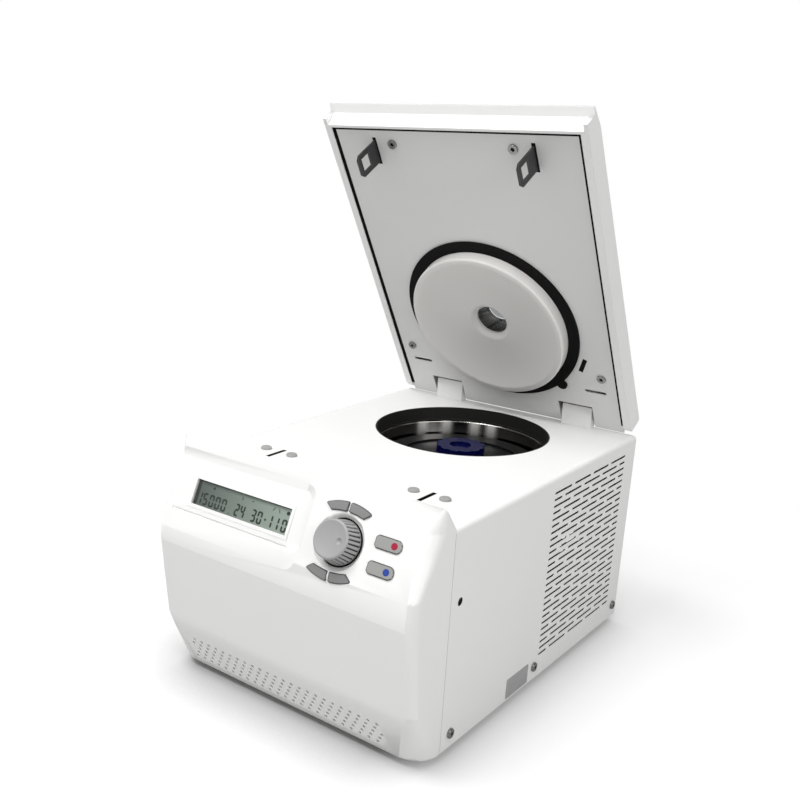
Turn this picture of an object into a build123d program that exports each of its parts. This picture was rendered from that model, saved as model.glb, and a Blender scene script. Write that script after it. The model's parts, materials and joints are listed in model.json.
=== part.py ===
from build123d import *

import os
from math import cos, hypot, radians, sin, sqrt, tan

# A bench microcentrifuge with its lid raised. Lengths are in millimetres and angles in degrees.
# X runs right, Y back and Z up. The parts are drawn about a point on the bench midway between the
# four feet, and written out about the point on the bench under the middle of the whole outline.

# Case: a bent wrap over a base plate, with a moulded shell in front
OUTLINE_Y = -10.08
CASE_W = 310.0
CASE_H = 219.3
CASE_D = 383.6
FOOT_H = 9.0
FOOT_R = 11.0
FOOT_INSET = 30.0
FOOT_FRONT = 12.6
FOOT_BACK = 41.0
SEAM_Y = -177.6
SEAM_GAP = 0.5
SHEET = 1.5
WRAP_BEND_R = 5.0
FLANGE_H = 25.0
PANEL_INSET = 1.0
FIT = 0.2
RUN_FIT = 0.05
TRAVEL_GAP = 0.3

# Side screws, rating plate, release hole and slot vents
SCREW_FRONT = 15.6
SCREW_MIDDLE = 206.0
SCREW_BACK = 11.5
SCREW_RISE = 15.0
SCREW_HEAD_R = 5.0
SCREW_HEAD_H = 2.6
SCREW_R = 2.5
SCREW_L = 8.0
SOCKET_R = 1.8
HEX_SIDES = 6
SOCKET_DEPTH = 1.6
PLATE_W = 44.5
PLATE_H = 21.4
PLATE_T = 0.4
PLATE_Y = -34.8
PLATE_RISE = 13.0
RELEASE_R = 4.0
RELEASE_SETBACK = 16.1
RELEASE_DROP = 72.6
VENT_ROWS = 26
VENT_PITCH = 7.08
VENT_TOP_DROP = 17.1
VENT_FRONT_Y = 9.1
VENT_BACK_Y = 179.2
VENT_SLOT_L = 37.5
VENT_SLOT_H = 2.3
VENT_STEP = 44.2
VENT_SHIFT = 23.6
STIFFENER_Y = 131.3
STIFFENER_W = 8.4
STIFFENER_T = 3.0
STIFFENER_L = 131.0
STIFFENER_DROP = 14.3

# Front shell: depths are measured forward of the seam
WALL = 3.0
TOE_DEPTH = 28.3
GRILLE_RISE = 44.0
GRILLE_DEPTH = 44.4
CHIN_RISE = 56.0
CHIN_DEPTH = 46.9
BELLY_RISE = 104.0
BELLY_DEPTH = 52.9
FACE_DEPTH = 56.9
FACE_LOW_DROP = 79.3
PANEL_DEPTH = 55.9
PANEL_DROP = 50.8
PANEL_ANGLE = 62.35
PANEL_L = 83.0
TOE_R = 26.0
GRILLE_R = 14.0
FACE_R = 8.5
FLARE_R = 15.0
FLARE_LOW = 41.0
FLARE_HIGH = 60.0
RIDGE_R = 3.0
TONGUE_T = 3.0
TONGUE_L = 8.0
TONGUE_ROOT = 4.0
HOLE_R = 1.75
HOLE_PITCH = 10.07
HOLE_ROW_PITCH = 6.05
HOLE_ROWS = 5
HOLE_SHIFT = 3.4
HOLE_FIRST = 9.4
HOLE_FIELD = 123.0

# Display tray: positions run up the tray plane from the nose of the shell
NOSE_DROP = 62.8
TRAY_EDGE = 24.0
TRAY_LIP_X = 4.0
TRAY_LIP_RISE = 14.0
TRAY_LOW = 17.0
TRAY_TOP = 82.0
TRAY_DRAFT = 7.5
TRAY_DEPTH = 4.5
TRAY_R = 12.0
GROOVE_W = 3.8
GROOVE_DEPTH = 1.2
WINDOW_INSET = 31.4
WINDOW_TO_KNOB = 63.7
WINDOW_H = 25.3
WINDOW_RISE = 41.95
FRAME_W = 3.5
FRAME_T = 0.5
GLASS_T = 2.2
MODULE_T = 8.0
MODULE_MARGIN = 5.0

# Knob and keys: positions on the panel from its fold
KNOB_INSET = 92.2
KNOB_D = 29.4
DISH_R = 26.5
DISH_FLOOR_R = 22.5
DISH_DEPTH = 5.0
KNOB_BASE_R = 20.7
KNOB_TOP_R = 18.0
KNOB_RIB_T = 0.7
KNOB_RIBS = 30
KNOB_H = 18.0
KNOB_CHAMFER = 1.2
DIMPLE_R = 3.2
DIMPLE_DEPTH = 0.8
DIMPLE_X = 9.5
PUSH = 0.8
KEY_RISE = 1.5
KEY_GAP = 0.35
KEY_FLANGE = 1.0
KEY_FLANGE_T = 1.2
KEY_STEM_R = 2.0
ARC_OUT_TOP = 36.0
ARC_OUT_R = 58.2
ARC_IN_TOP = 27.4
ARC_IN_R = 69.0
ARC_SPLIT = 1.2
ARC_IN_END = 17.7
ARC_OUT_END = 24.9
ARC_CORNER_R = 1.0
ARC_STEM_X = 11.0
ARC_STEM_Y = 30.5
LOW_KEY_TILT = 13.0
PILL_L = 27.0
PILL_W = 11.2
PILL_INSET = 42.5
PILL_UPPER_D = 40.6
PILL_LOWER_D = 17.6
PILL_CHAMFER = 2.0
BOARD_T = 1.6
BOARD_L = 109.0
BOARD_INSET = 17.0
BOARD_D0 = -6.0
BOARD_D1 = 64.0
POST_R = 2.5
POST_INSET = 4.0
SWITCH_W = 6.0
SWITCH_H = 2.5
ENCODER_W = 12.6
ENCODER_H = 6.5
BUSH_R = 4.5
KNOB_SHAFT_R = 3.0
PLUNGER_R = 5.0
PLUNGER_T = 2.0
ENCODER_FLOOR = 0.6
KNOB_BORE_DEPTH = 12.0

# Bowl, seal collar and rotor, on a vertical axis
BOWL_BACK = 120.6
OPENING_R = 97.2
COLLAR_T = 1.5
COLLAR_H = 16.0
COLLAR_FOOT = 1.5
BOWL_R = 92.75
BOWL_T = 1.0
BOWL_DEPTH = 100.3
BOWL_BEND_R = 9.0
RING_R = 103.0
BOWL_HOLE_R = 22.0
BOOT_FLANGE_R = 28.0
BOOT_FLANGE_T = 1.5
BOOT_DROP = 3.0
ROTOR_R = 88.0
ROTOR_DROP = 31.5
ROTOR_RIM_H = 47.0
ROTOR_H = 69.0
ROTOR_FOOT_R = 58.0
ROTOR_RIM_W = 19.5
LID_SEAT_W = 2.5
LID_SEAT_DROP = 4.0
TUBE_COUNT = 24
TUBE_R = 5.5
TUBE_CIRCLE_R = 56.0
TUBE_DEPTH = 34.0
TUBE_ANGLE = 45.0
WELL_R = 40.0
HUB_R = 14.0
ROTOR_LID_T = 2.0
GRIP_R = 27.0
GRIP_H = 15.7
GRIP_NECK_R = 10.0
GRIP_NECK_L = 8.0
GRIP_RECESS_R = 12.0
GRIP_RECESS_DEPTH = 3.0
GRIP_TOP_T = 3.0
GRIP_FLUTES = 12
GRIP_FLUTE_R = 4.0
SHAFT_R = 6.0
SHOULDER_R = 9.0

# Drive below the bowl
DAMPER_R = 9.0
DAMPER_H = 18.0
DAMPER_SPAN = 60.0
MOTOR_PLATE_W = 150.0
MOTOR_PLATE_T = 6.0
MOTOR_R = 45.0
MOTOR_WALL = 3.0
MOTOR_H = 65.5
END_WALL = 4.0
SEAT_RING = 6.0
BEARING_R = 16.0
BEARING_H = 9.0
BEARING_STEP = 3.5
NECK_R = 20.0
NECK_BORE_R = 10.0
NECK_H = 14.0
STATOR_IN_R = 26.0
STATOR_H = 32.0
AIR_GAP = 0.6
SHAFT_TAIL = 2.0

# Hinge and lid: s runs along the lid from the hinge axis, t runs from the axis towards the case
OPEN_ANGLE = 59.2
HINGE_OVERHANG = 5.5
HINGE_RISE = 19.0
BLOCK_X = 85.6
BLOCK_W = 36.0
BLOCK_FRONT = 16.0
BLOCK_TOP = 5.2
NOTCH_W = 42.0
NOTCH_L = 19.4
PIN_R = 2.5
EAR_T = 3.0
EAR_L = 30.0
EAR_LOW = 6.0
EAR_REAR = 5.0
SPRING_L = 12.0
SPRING_WIRE = 1.2
SPRING_COILS = 10
LID_INSET = 4.75
LID_SETBACK = 7.0
LID_TOP = 7.7
LID_SKIN = 1.5
LID_REAR = 7.2
LID_REAR_T = 15.0
LID_REAR_CHAMFER = 4.0
LID_NOTCH_T = -0.5
LIP_T = 0.3
CHAMFER_L = 32.9
CHEEK_SETBACK = 7.9
CHEEK_W = 4.0
LIP_UNDER_L = 9.2
LIP_UNDER_T = 3.6
END_WALL_SETBACK = 15.1
LID_RIM_W = 7.85
LID_RIM_H = 7.0
LID_GAP = 0.3
INNER_PLATE_T = 1.5
INNER_PLATE_DROP = 2.6
INNER_PLATE_GAP = 1.2
INNER_PLATE_REAR = 10.8
INNER_PLATE_FRONT = 19.1
BOSS_R = 6.0
SEAL_R = 106.0
SEAL_TAB_X = 75.0
SEAL_TAB_Y = -78.1
SEAL_TAB_R = 6.0
PLUG_R = 93.5
PLUG_H = 16.0
PLUG_EDGE_R = 2.5
PLUG_RIM_W = 3.0
PLUG_CENTRE_H = 4.2
PLUG_DISH_SHARE = 0.12
FUNNEL_R = 23.0
FUNNEL_IN_R = 18.6
SIGHT_R = 15.0
SIGHT_FLANGE = 3.0
SIGHT_T = 1.5
LID_SCREW_R = 5.0
LID_SCREW_H = 2.0
LID_SCREW_SHANK_R = 2.0
LID_SCREW_L = 6.0
UPPER_SCREW_X = 70.0
UPPER_SCREW_FRONT = 36.6
LOWER_SCREW_INSET = 26.45
LOWER_SCREW_S = 66.0
SLIT_INSET = 36.25
SLIT_S = 44.3
SLIT_L = 25.4
SLIT_W = 4.0
ARC_SLIT_R = 110.0
ARC_SLIT_A = -31.8
ARC_SLIT_B = -15.6
ARC_SLIT_W = 3.5

# Latch: strikers on the lid, and a locking bar in a channel under the case top
LATCH_X = 92.0
LATCH_SETBACK = 52.1
STRIKER_L = 25.0
STRIKER_T = 2.0
STRIKER_REACH = 51.3
STRIKER_CHAMFER = 4.0
STRIKER_HOLE_L = 14.4
STRIKER_HOLE_H = 13.7
STRIKER_HOLE_T = 38.6
STRIKER_FOOT_W = 12.0
STRIKER_FOOT_T = 1.5
SLOT_W = 5.0
SLOT_BACK_GAP = 0.5
SLOT_FRONT_GAP = 0.35
BUMPER_R = 5.5
BUMPER_H = 2.5
BUMPER_SPAN = 17.3
BUMPER_Y = 2.5
CHANNEL_W = 35.0
CHANNEL_T = 2.0
CHANNEL_FLOOR_T = 3.0
CHANNEL_FLANGE = 6.0
CHANNEL_X0 = -116.0
CHANNEL_X1 = 124.0
BAR_TRAVEL = 8.0
BAR_W = 11.0
BAR_H = 8.0
BAR_GAP = 4.0
BOLT_H = 7.5
BOLT_STEM = 4.0
BOLT_CLEAR = 1.5
BOLT_L = 7.5
PAD_T = 3.0
PAD_W = 12.0
PAD_GAP = 0.5
LUG_T = 4.0
LUG_X = -26.0
COIL_L = 44.0
COIL_W = 24.0
COIL_H = 22.0
COIL_X = 0.0
CORE_R = 5.0
CORE_DEPTH = 20.0

# Electrics: boards on the base, and the fan, inlet and switch in the rear panel
PCB_W = 60.0
PCB_L = 150.0
# Parts on each board: centre from the board's own, then length, width and height
POWER_PARTS = [
    (0.0, 30.0, 40.0, 45.0, 30.0),
    (-12.0, -20.0, 16.0, 16.0, 32.0),
    (10.0, -20.0, 18.0, 30.0, 14.0),
]
DRIVE_PARTS = [
    (0.0, 35.0, 36.0, 30.0, 22.0),
    (8.0, -5.0, 12.0, 12.0, 18.0),
    (-10.0, -10.0, 14.0, 24.0, 8.0),
]
PCB_SETBACK = 40.0
PCB_BACK = 121.0
STANDOFF_H = 8.0
STANDOFF_R = 3.0
PCB_INSET = 5.0
FAN_INSET = 50.0
FAN_Z = 75.0
FAN_W = 60.0
FAN_T = 15.0
FAN_R = 28.0
FAN_STRUT_TURN = 30.0
FAN_HUB_R = 13.0
FAN_BLADES = 7
BLADE_T = 1.4
BLADE_ANGLE = 35.0
FAN_PIN_R = 1.5
FAN_ARM_W = 4.0
FAN_ARM_T = 2.5
FAN_GAP = 0.6
GUARD_WIRE = 1.6
GUARD_RINGS = 4
INLET_INSET = 43.0
INLET_Z = 50.0
INLET_W = 28.0
INLET_H = 20.0
INLET_WALL = 2.5
INLET_RIM = 5.0
INLET_RIM_T = 2.0
INLET_DEPTH = 17.0
INLET_FLOOR = 5.0
INLET_PIN_L = 15.0
INLET_PIN_W = 4.0
INLET_PIN_T = 2.0
INLET_PIN_X = 7.0
INLET_PIN_Z = 2.0
INLET_TO_SWITCH = 48.0
SWITCH_Z = 50.0
ROCKER_W = 12.0
ROCKER_H = 20.0
ROCKER_PIN_R = 1.5
ROCKER_TILT = 10.0
BEZEL_RIM = 3.0
BEZEL_DEPTH = 14.0
BEZEL_WALL = 2.0

# Places worked out from the sizes above
CASE_TOP = FOOT_H + CASE_H
BACK_Y = SEAM_Y + CASE_D
SCREW_Y = (SEAM_Y + SCREW_FRONT, BACK_Y - SCREW_MIDDLE, BACK_Y - SCREW_BACK)
FOOT_FRONT_Y = SEAM_Y + FOOT_FRONT
FOOT_BACK_Y = BACK_Y - FOOT_BACK
PCB_Y = BACK_Y - PCB_BACK
SIDE_X = CASE_W / 2
SIDE_IN = SIDE_X - SHEET
FOOT_X = SIDE_X - FOOT_INSET
KNOB_X = SIDE_X - KNOB_INSET
PILL_X = SIDE_X - PILL_INSET
BOARD_X1 = SIDE_X - BOARD_INSET
BOARD_X0 = BOARD_X1 - BOARD_L
WINDOW_LOW_X = WINDOW_INSET - SIDE_X
WINDOW_W = KNOB_X - WINDOW_TO_KNOB - WINDOW_LOW_X
WINDOW_X = WINDOW_LOW_X + WINDOW_W / 2
LID_W = CASE_W - 2 * LID_INSET
LOWER_SCREW_X = LID_W / 2 - LOWER_SCREW_INSET
SLIT_X = LID_W / 2 - SLIT_INSET
PCB_X = SIDE_X - PCB_SETBACK
FAN_X = SIDE_X - FAN_INSET
INLET_X = INLET_INSET - SIDE_X
SWITCH_X = INLET_X + INLET_TO_SWITCH
TOP_IN = CASE_TOP - SHEET
BASE_TOP = FOOT_H + SHEET
WRAP_L = CASE_D - SEAM_GAP
BOWL_Y = BACK_Y - BOWL_BACK
HINGE_Y = BACK_Y + HINGE_OVERHANG
HINGE_Z = CASE_TOP + HINGE_RISE
LATCH_Y = SEAM_Y + LATCH_SETBACK
FACE_Y = SEAM_Y - FACE_DEPTH

BACK_PLANE = Plane(origin=(0, BACK_Y, 0), x_dir=(1, 0, 0), z_dir=(0, -1, 0))
RIGHT_PLANE = Plane(origin=(SIDE_X, 0, 0), x_dir=(0, 1, 0), z_dir=(1, 0, 0))
BOWL_SECTION = Plane(origin=(0, BOWL_Y, 0), x_dir=(1, 0, 0), z_dir=(0, -1, 0))
BOWL_AXIS = Axis((0, BOWL_Y, 0), (0, 0, 1))

PANEL_COS = cos(radians(PANEL_ANGLE))
PANEL_SIN = sin(radians(PANEL_ANGLE))
PANEL_Y = SEAM_Y - PANEL_DEPTH
PANEL_Z = CASE_TOP - PANEL_DROP
PANEL = Plane(origin=(0, PANEL_Y, PANEL_Z), x_dir=(1, 0, 0), z_dir=(0, -PANEL_SIN, PANEL_COS))
RIDGE_Y = PANEL_Y + PANEL_L * PANEL_COS
RIDGE_Z = PANEL_Z + PANEL_L * PANEL_SIN
FOLD_Z = PANEL_Z - (FACE_DEPTH - PANEL_DEPTH) * tan(radians(PANEL_ANGLE))
NOSE_Z = CASE_TOP - NOSE_DROP
TRAY_L = hypot(RIDGE_Y - FACE_Y, RIDGE_Z - NOSE_Z)
TRAY_COS = (RIDGE_Y - FACE_Y) / TRAY_L
TRAY_SIN = (RIDGE_Z - NOSE_Z) / TRAY_L
TRAY = Plane(origin=(0, FACE_Y, NOSE_Z), x_dir=(1, 0, 0), z_dir=(0, -TRAY_SIN, TRAY_COS))

# Shell profile in side view, from the seam's foot round the front to the seam's top
PROFILE = [
    (SEAM_Y, FOOT_H),
    (SEAM_Y - TOE_DEPTH, FOOT_H),
    (SEAM_Y - GRILLE_DEPTH, FOOT_H + GRILLE_RISE),
    (SEAM_Y - CHIN_DEPTH, FOOT_H + CHIN_RISE),
    (SEAM_Y - BELLY_DEPTH, FOOT_H + BELLY_RISE),
    (FACE_Y, CASE_TOP - FACE_LOW_DROP),
    (FACE_Y, FOLD_Z),
    (RIDGE_Y, RIDGE_Z),
    (SEAM_Y, CASE_TOP),
]
PROFILE_RADII = [TOE_R, GRILLE_R, FACE_R, FACE_R, FACE_R, FACE_R, RIDGE_R]

GRILLE_L = hypot(GRILLE_DEPTH - TOE_DEPTH, GRILLE_RISE)
GRILLE_COS = (GRILLE_DEPTH - TOE_DEPTH) / GRILLE_L
GRILLE_SIN = GRILLE_RISE / GRILLE_L
GRILLE = Plane(
    origin=(0, SEAM_Y - TOE_DEPTH, FOOT_H), x_dir=(1, 0, 0), z_dir=(0, -GRILLE_SIN, -GRILLE_COS)
)
ROOF_L = hypot(SEAM_Y - RIDGE_Y, RIDGE_Z - CASE_TOP)
ROOF_NORMAL = (0, (RIDGE_Z - CASE_TOP) / ROOF_L, (SEAM_Y - RIDGE_Y) / ROOF_L)
ROOF = Plane(origin=(0, SEAM_Y, CASE_TOP), x_dir=(1, 0, 0), z_dir=ROOF_NORMAL)

OPEN_COS = cos(radians(OPEN_ANGLE))
OPEN_SIN = sin(radians(OPEN_ANGLE))
LID_FACE = Plane(origin=(0, HINGE_Y, HINGE_Z), x_dir=(1, 0, 0), z_dir=(0, -OPEN_SIN, -OPEN_COS))
LID_SIDE = Plane(origin=(0, HINGE_Y, HINGE_Z), x_dir=(0, -OPEN_COS, OPEN_SIN), z_dir=(1, 0, 0))
HINGE_SIDE = Plane(origin=(0, HINGE_Y, HINGE_Z), x_dir=(0, -1, 0), z_dir=(1, 0, 0))
HINGE_AXIS = Axis((0, HINGE_Y, HINGE_Z), (1, 0, 0))
LIP_S = HINGE_Y - SEAM_Y - LID_SETBACK
BOWL_S = HINGE_Y - BOWL_Y
LATCH_S = HINGE_Y - LATCH_Y
LID_EDGE_T = HINGE_RISE - LID_GAP
PLATE_LOW = LID_EDGE_T - INNER_PLATE_DROP
PLATE_HIGH = PLATE_LOW - INNER_PLATE_T
SKIN_IN = LID_TOP - LID_SKIN
LID_RIM_IN = LID_W / 2 - LID_RIM_W
PLATE_HALF = LID_RIM_IN - INNER_PLATE_GAP


def inset_profile(points, wall):
    """Return the corners of an open outline moved inwards by the wall."""
    sides = []
    for (y0, z0), (y1, z1) in zip(points, points[1:]):
        length = hypot(y1 - y0, z1 - z0)
        normal_y = (z1 - z0) / length
        normal_z = (y0 - y1) / length
        sides.append((normal_y, normal_z, normal_y * y0 + normal_z * z0 + wall))
    corners = []
    for (a, b, c), (d, e, f) in zip(sides, sides[1:]):
        scale = a * e - b * d
        corners.append(((c * e - b * f) / scale, (a * f - c * d) / scale))
    return corners


def shell_stations(corners, wall):
    """Return height, front and corner radius of each section of the shell, from toe to ridge."""
    stations = []
    for (y, z), radius in zip(corners, PROFILE_RADII):
        stations.append((z, y, max(radius - wall, 1.0)))
    ridge = stations.pop()
    fold_z, fold_y = stations[-1][:2]
    for rise in (FLARE_LOW, FLARE_HIGH):
        share = rise * PANEL_SIN / (RIDGE_Z - FOLD_Z)
        z = fold_z + share * (ridge[0] - fold_z)
        y = fold_y + share * (ridge[1] - fold_y)
        stations.append((z, y, max(FLARE_R - wall, 1.0)))
    return stations + [ridge]


def arc_crown(x, top, radius):
    """Return the height of an arc of the given radius whose top lies on the key cluster's axis."""
    return top - radius + sqrt(radius * radius - x * x)


def arc_key_sketch(side, level, grow=0.0):
    """Return the outline of one arc key about the knob's centre, grown by a margin."""
    half_in = (ARC_SPLIT + ARC_IN_END) / 2
    half_out = (ARC_SPLIT + ARC_OUT_END) / 2
    inner = [(x, arc_crown(x, ARC_IN_TOP, ARC_IN_R)) for x in (ARC_SPLIT, half_in, ARC_IN_END)]
    outer = [(x, arc_crown(x, ARC_OUT_TOP, ARC_OUT_R)) for x in (ARC_OUT_END, half_out, ARC_SPLIT)]
    inner = [(side * x, level * y) for x, y in inner]
    outer = [(side * x, level * y) for x, y in outer]
    with BuildSketch() as outline:
        with BuildLine():
            ThreePointArc(*inner)
            Line(inner[-1], outer[0])
            ThreePointArc(*outer)
            Line(outer[-1], inner[0])
        make_face()
        fillet(outline.vertices(), ARC_CORNER_R)
        if grow:
            offset(amount=grow, kind=Kind.ARC)
    return outline.sketch


def pill_key_sketch(grow=0.0):
    """Return the outline of a start or stop key about its centre, grown by a margin."""
    with BuildSketch() as outline:
        Rectangle(PILL_L + 2 * grow, PILL_W + 2 * grow)
        fillet(outline.vertices().group_by(Axis.X)[-1], (PILL_W + 2 * grow) / 2 - FIT)
        chamfer(outline.vertices().group_by(Axis.X)[0], PILL_CHAMFER)
    return outline.sketch


def vent_row(shifted):
    """Return the front and back end of each slot in one vent row, cut off at the field's ends."""
    front = VENT_FRONT_Y
    if shifted:
        front += VENT_SHIFT - VENT_STEP
    slots = []
    while front < VENT_BACK_Y - VENT_SLOT_H:
        low = max(front, VENT_FRONT_Y)
        high = min(front + VENT_SLOT_L, VENT_BACK_Y)
        slots.append((low, high))
        front += VENT_STEP
    return slots


# Case wrap: one bent sheet that makes the top and both sides
slot_front_s = sqrt(
    (LATCH_S + STRIKER_L / 2) ** 2 + (STRIKER_REACH - STRIKER_CHAMFER) ** 2 - HINGE_RISE**2
)
slot_front_y = HINGE_Y - slot_front_s - SLOT_FRONT_GAP
slot_back_y = LATCH_Y + STRIKER_L / 2 + SLOT_BACK_GAP
slot_centre_y = (slot_front_y + slot_back_y) / 2
release_y = SEAM_Y + RELEASE_SETBACK
release_z = CASE_TOP - RELEASE_DROP
with BuildPart() as case_wrap:
    with BuildSketch(BACK_PLANE) as wrap_outside:
        with Locations((0, FOOT_H)):
            Rectangle(CASE_W, CASE_H, align=(Align.CENTER, Align.MIN))
        fillet(wrap_outside.vertices().group_by(Axis.Y)[-1], WRAP_BEND_R)
    extrude(amount=WRAP_L)
    with BuildSketch(BACK_PLANE) as wrap_inside:
        with Locations((0, FOOT_H)):
            Rectangle(2 * SIDE_IN, CASE_H - SHEET, align=(Align.CENTER, Align.MIN))
        fillet(wrap_inside.vertices().group_by(Axis.Y)[-1], WRAP_BEND_R - SHEET)
    extrude(amount=WRAP_L, mode=Mode.SUBTRACT)
    with BuildSketch(Plane.XY.offset(CASE_TOP)):
        with Locations((0, BOWL_Y)):
            Circle(OPENING_R)
        with Locations((-LATCH_X, slot_centre_y), (LATCH_X, slot_centre_y)):
            Rectangle(SLOT_W, slot_back_y - slot_front_y)
    extrude(amount=-2 * SHEET, mode=Mode.SUBTRACT)
    with BuildSketch(RIGHT_PLANE):
        with Locations((release_y, release_z)):
            Circle(RELEASE_R)
    extrude(amount=-2 * SHEET, mode=Mode.SUBTRACT)
    with BuildSketch(RIGHT_PLANE):
        for y in SCREW_Y:
            with Locations((y, FOOT_H + SCREW_RISE)):
                Circle(SCREW_R)
        for row in range(VENT_ROWS):
            z = CASE_TOP - VENT_TOP_DROP - row * VENT_PITCH
            for low, high in vent_row(row % 2 == 1):
                with Locations(((low + high) / 2, z)):
                    SlotOverall(high - low, VENT_SLOT_H)
    extrude(amount=-CASE_W, mode=Mode.SUBTRACT)

# Base plate: a tray whose side flanges take the case screws
with BuildPart() as base_plate:
    with BuildSketch(BACK_PLANE):
        with Locations((0, FOOT_H)):
            Rectangle(2 * SIDE_IN, FLANGE_H, align=(Align.CENTER, Align.MIN))
        with Locations((0, BASE_TOP)):
            Rectangle(
                2 * (SIDE_IN - SHEET), FLANGE_H, align=(Align.CENTER, Align.MIN), mode=Mode.SUBTRACT
            )
    extrude(amount=WRAP_L)
    with BuildSketch(RIGHT_PLANE):
        for y in SCREW_Y:
            with Locations((y, FOOT_H + SCREW_RISE)):
                Circle(SCREW_R)
    extrude(amount=-CASE_W, mode=Mode.SUBTRACT)
    with BuildSketch(Plane.XY.offset(BASE_TOP)):
        with Locations((-PCB_X, PCB_Y), (PCB_X, PCB_Y)):
            with GridLocations(PCB_W - 2 * PCB_INSET, PCB_L - 2 * PCB_INSET, 2, 2):
                Circle(STANDOFF_R)
    extrude(amount=STANDOFF_H)

# Feet: four rubber pads under the base plate
with BuildPart() as feet:
    with BuildSketch():
        with Locations((0, (FOOT_FRONT_Y + FOOT_BACK_Y) / 2)):
            with GridLocations(2 * FOOT_X, FOOT_BACK_Y - FOOT_FRONT_Y, 2, 2):
                Circle(FOOT_R)
    extrude(amount=FOOT_H)
    chamfer(feet.edges().filter_by(GeomType.CIRCLE).group_by(Axis.Z)[0], SHEET)

# Case screws: button heads on the sides, shanks through wrap and flange
with BuildPart() as case_screws:
    for side in (-1, 1):
        side_plane = Plane(origin=(side * SIDE_X, 0, 0), x_dir=(0, 1, 0), z_dir=(side, 0, 0))
        for y in SCREW_Y:
            with BuildSketch(side_plane):
                with Locations((y, side * (FOOT_H + SCREW_RISE))):
                    Circle(SCREW_HEAD_R)
            extrude(amount=SCREW_HEAD_H)
            with BuildSketch(side_plane):
                with Locations((y, side * (FOOT_H + SCREW_RISE))):
                    Circle(SCREW_R)
            extrude(amount=-SCREW_L)
    fillet(case_screws.faces().group_by(Axis.X)[-1].edges(), SCREW_HEAD_H / 2)
    fillet(case_screws.faces().group_by(Axis.X)[0].edges(), SCREW_HEAD_H / 2)
    for side in (-1, 1):
        head_plane = Plane(
            origin=(side * (SIDE_X + SCREW_HEAD_H), 0, 0), x_dir=(0, 1, 0), z_dir=(side, 0, 0)
        )
        with BuildSketch(head_plane):
            for y in SCREW_Y:
                with Locations((y, side * (FOOT_H + SCREW_RISE))):
                    RegularPolygon(SOCKET_R, HEX_SIDES)
        extrude(amount=-SOCKET_DEPTH, mode=Mode.SUBTRACT)

# Rating plate: a bare metal tag on the right side
with BuildPart() as rating_plate:
    with BuildSketch(RIGHT_PLANE) as tag:
        with Locations((PLATE_Y, FOOT_H + PLATE_RISE)):
            Rectangle(PLATE_W, PLATE_H)
        fillet(tag.vertices(), SHEET)
    extrude(amount=PLATE_T)

# Side stiffeners: flat strips behind the vents
with BuildPart() as side_stiffeners:
    stiffener_z = CASE_TOP - STIFFENER_DROP - STIFFENER_L / 2
    stiffener_x = SIDE_IN - STIFFENER_T / 2
    with Locations((-stiffener_x, STIFFENER_Y, stiffener_z), (stiffener_x, STIFFENER_Y, stiffener_z)):
        Box(STIFFENER_T, STIFFENER_W, STIFFENER_L)

# Front shell cavity: the inside of the moulding, with room left for the tray and the dish
inner_corners = inset_profile(PROFILE, WALL)
board_depth = DISH_DEPTH + WALL + ENCODER_H
tray_left = -SIDE_X - WALL
with BuildPart() as shell_cavity:
    for z, y, radius in shell_stations(inner_corners, WALL):
        with BuildSketch(Plane.XY.offset(z)) as inside:
            with Locations((0, (y + SEAM_Y + WALL) / 2)):
                Rectangle(CASE_W - 2 * WALL, SEAM_Y + WALL - y)
            fillet(inside.vertices().group_by(Axis.Y)[0], radius)
    loft(ruled=True)
    split(bisect_by=ROOF.offset(-WALL), keep=Keep.BOTTOM)
    with BuildSketch(TRAY.offset(-WALL)):
        with BuildLine():
            Polyline(
                (tray_left, -TRAY_L),
                (TRAY_EDGE + WALL, -TRAY_L),
                (TRAY_EDGE + WALL, 2 * TRAY_L),
                (tray_left, 2 * TRAY_L),
                close=True,
            )
        make_face()
    extrude(amount=FACE_DEPTH, mode=Mode.SUBTRACT)
    with BuildSketch(TRAY.offset(-TRAY_DEPTH - WALL)):
        with BuildLine():
            Polyline(
                (tray_left, TRAY_LOW - WALL),
                (TRAY_EDGE + WALL, TRAY_LOW - WALL),
                (TRAY_EDGE + WALL, TRAY_TOP),
                (tray_left, TRAY_TOP),
                close=True,
            )
        make_face()
    extrude(amount=FACE_DEPTH, mode=Mode.SUBTRACT)
    with BuildSketch(PANEL):
        with Locations((KNOB_X, KNOB_D)):
            Circle(DISH_R + WALL)
    with BuildSketch(PANEL.offset(-DISH_DEPTH - WALL)):
        with Locations((KNOB_X, KNOB_D)):
            Circle(DISH_FLOOR_R + WALL)
    loft(mode=Mode.SUBTRACT)

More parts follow.
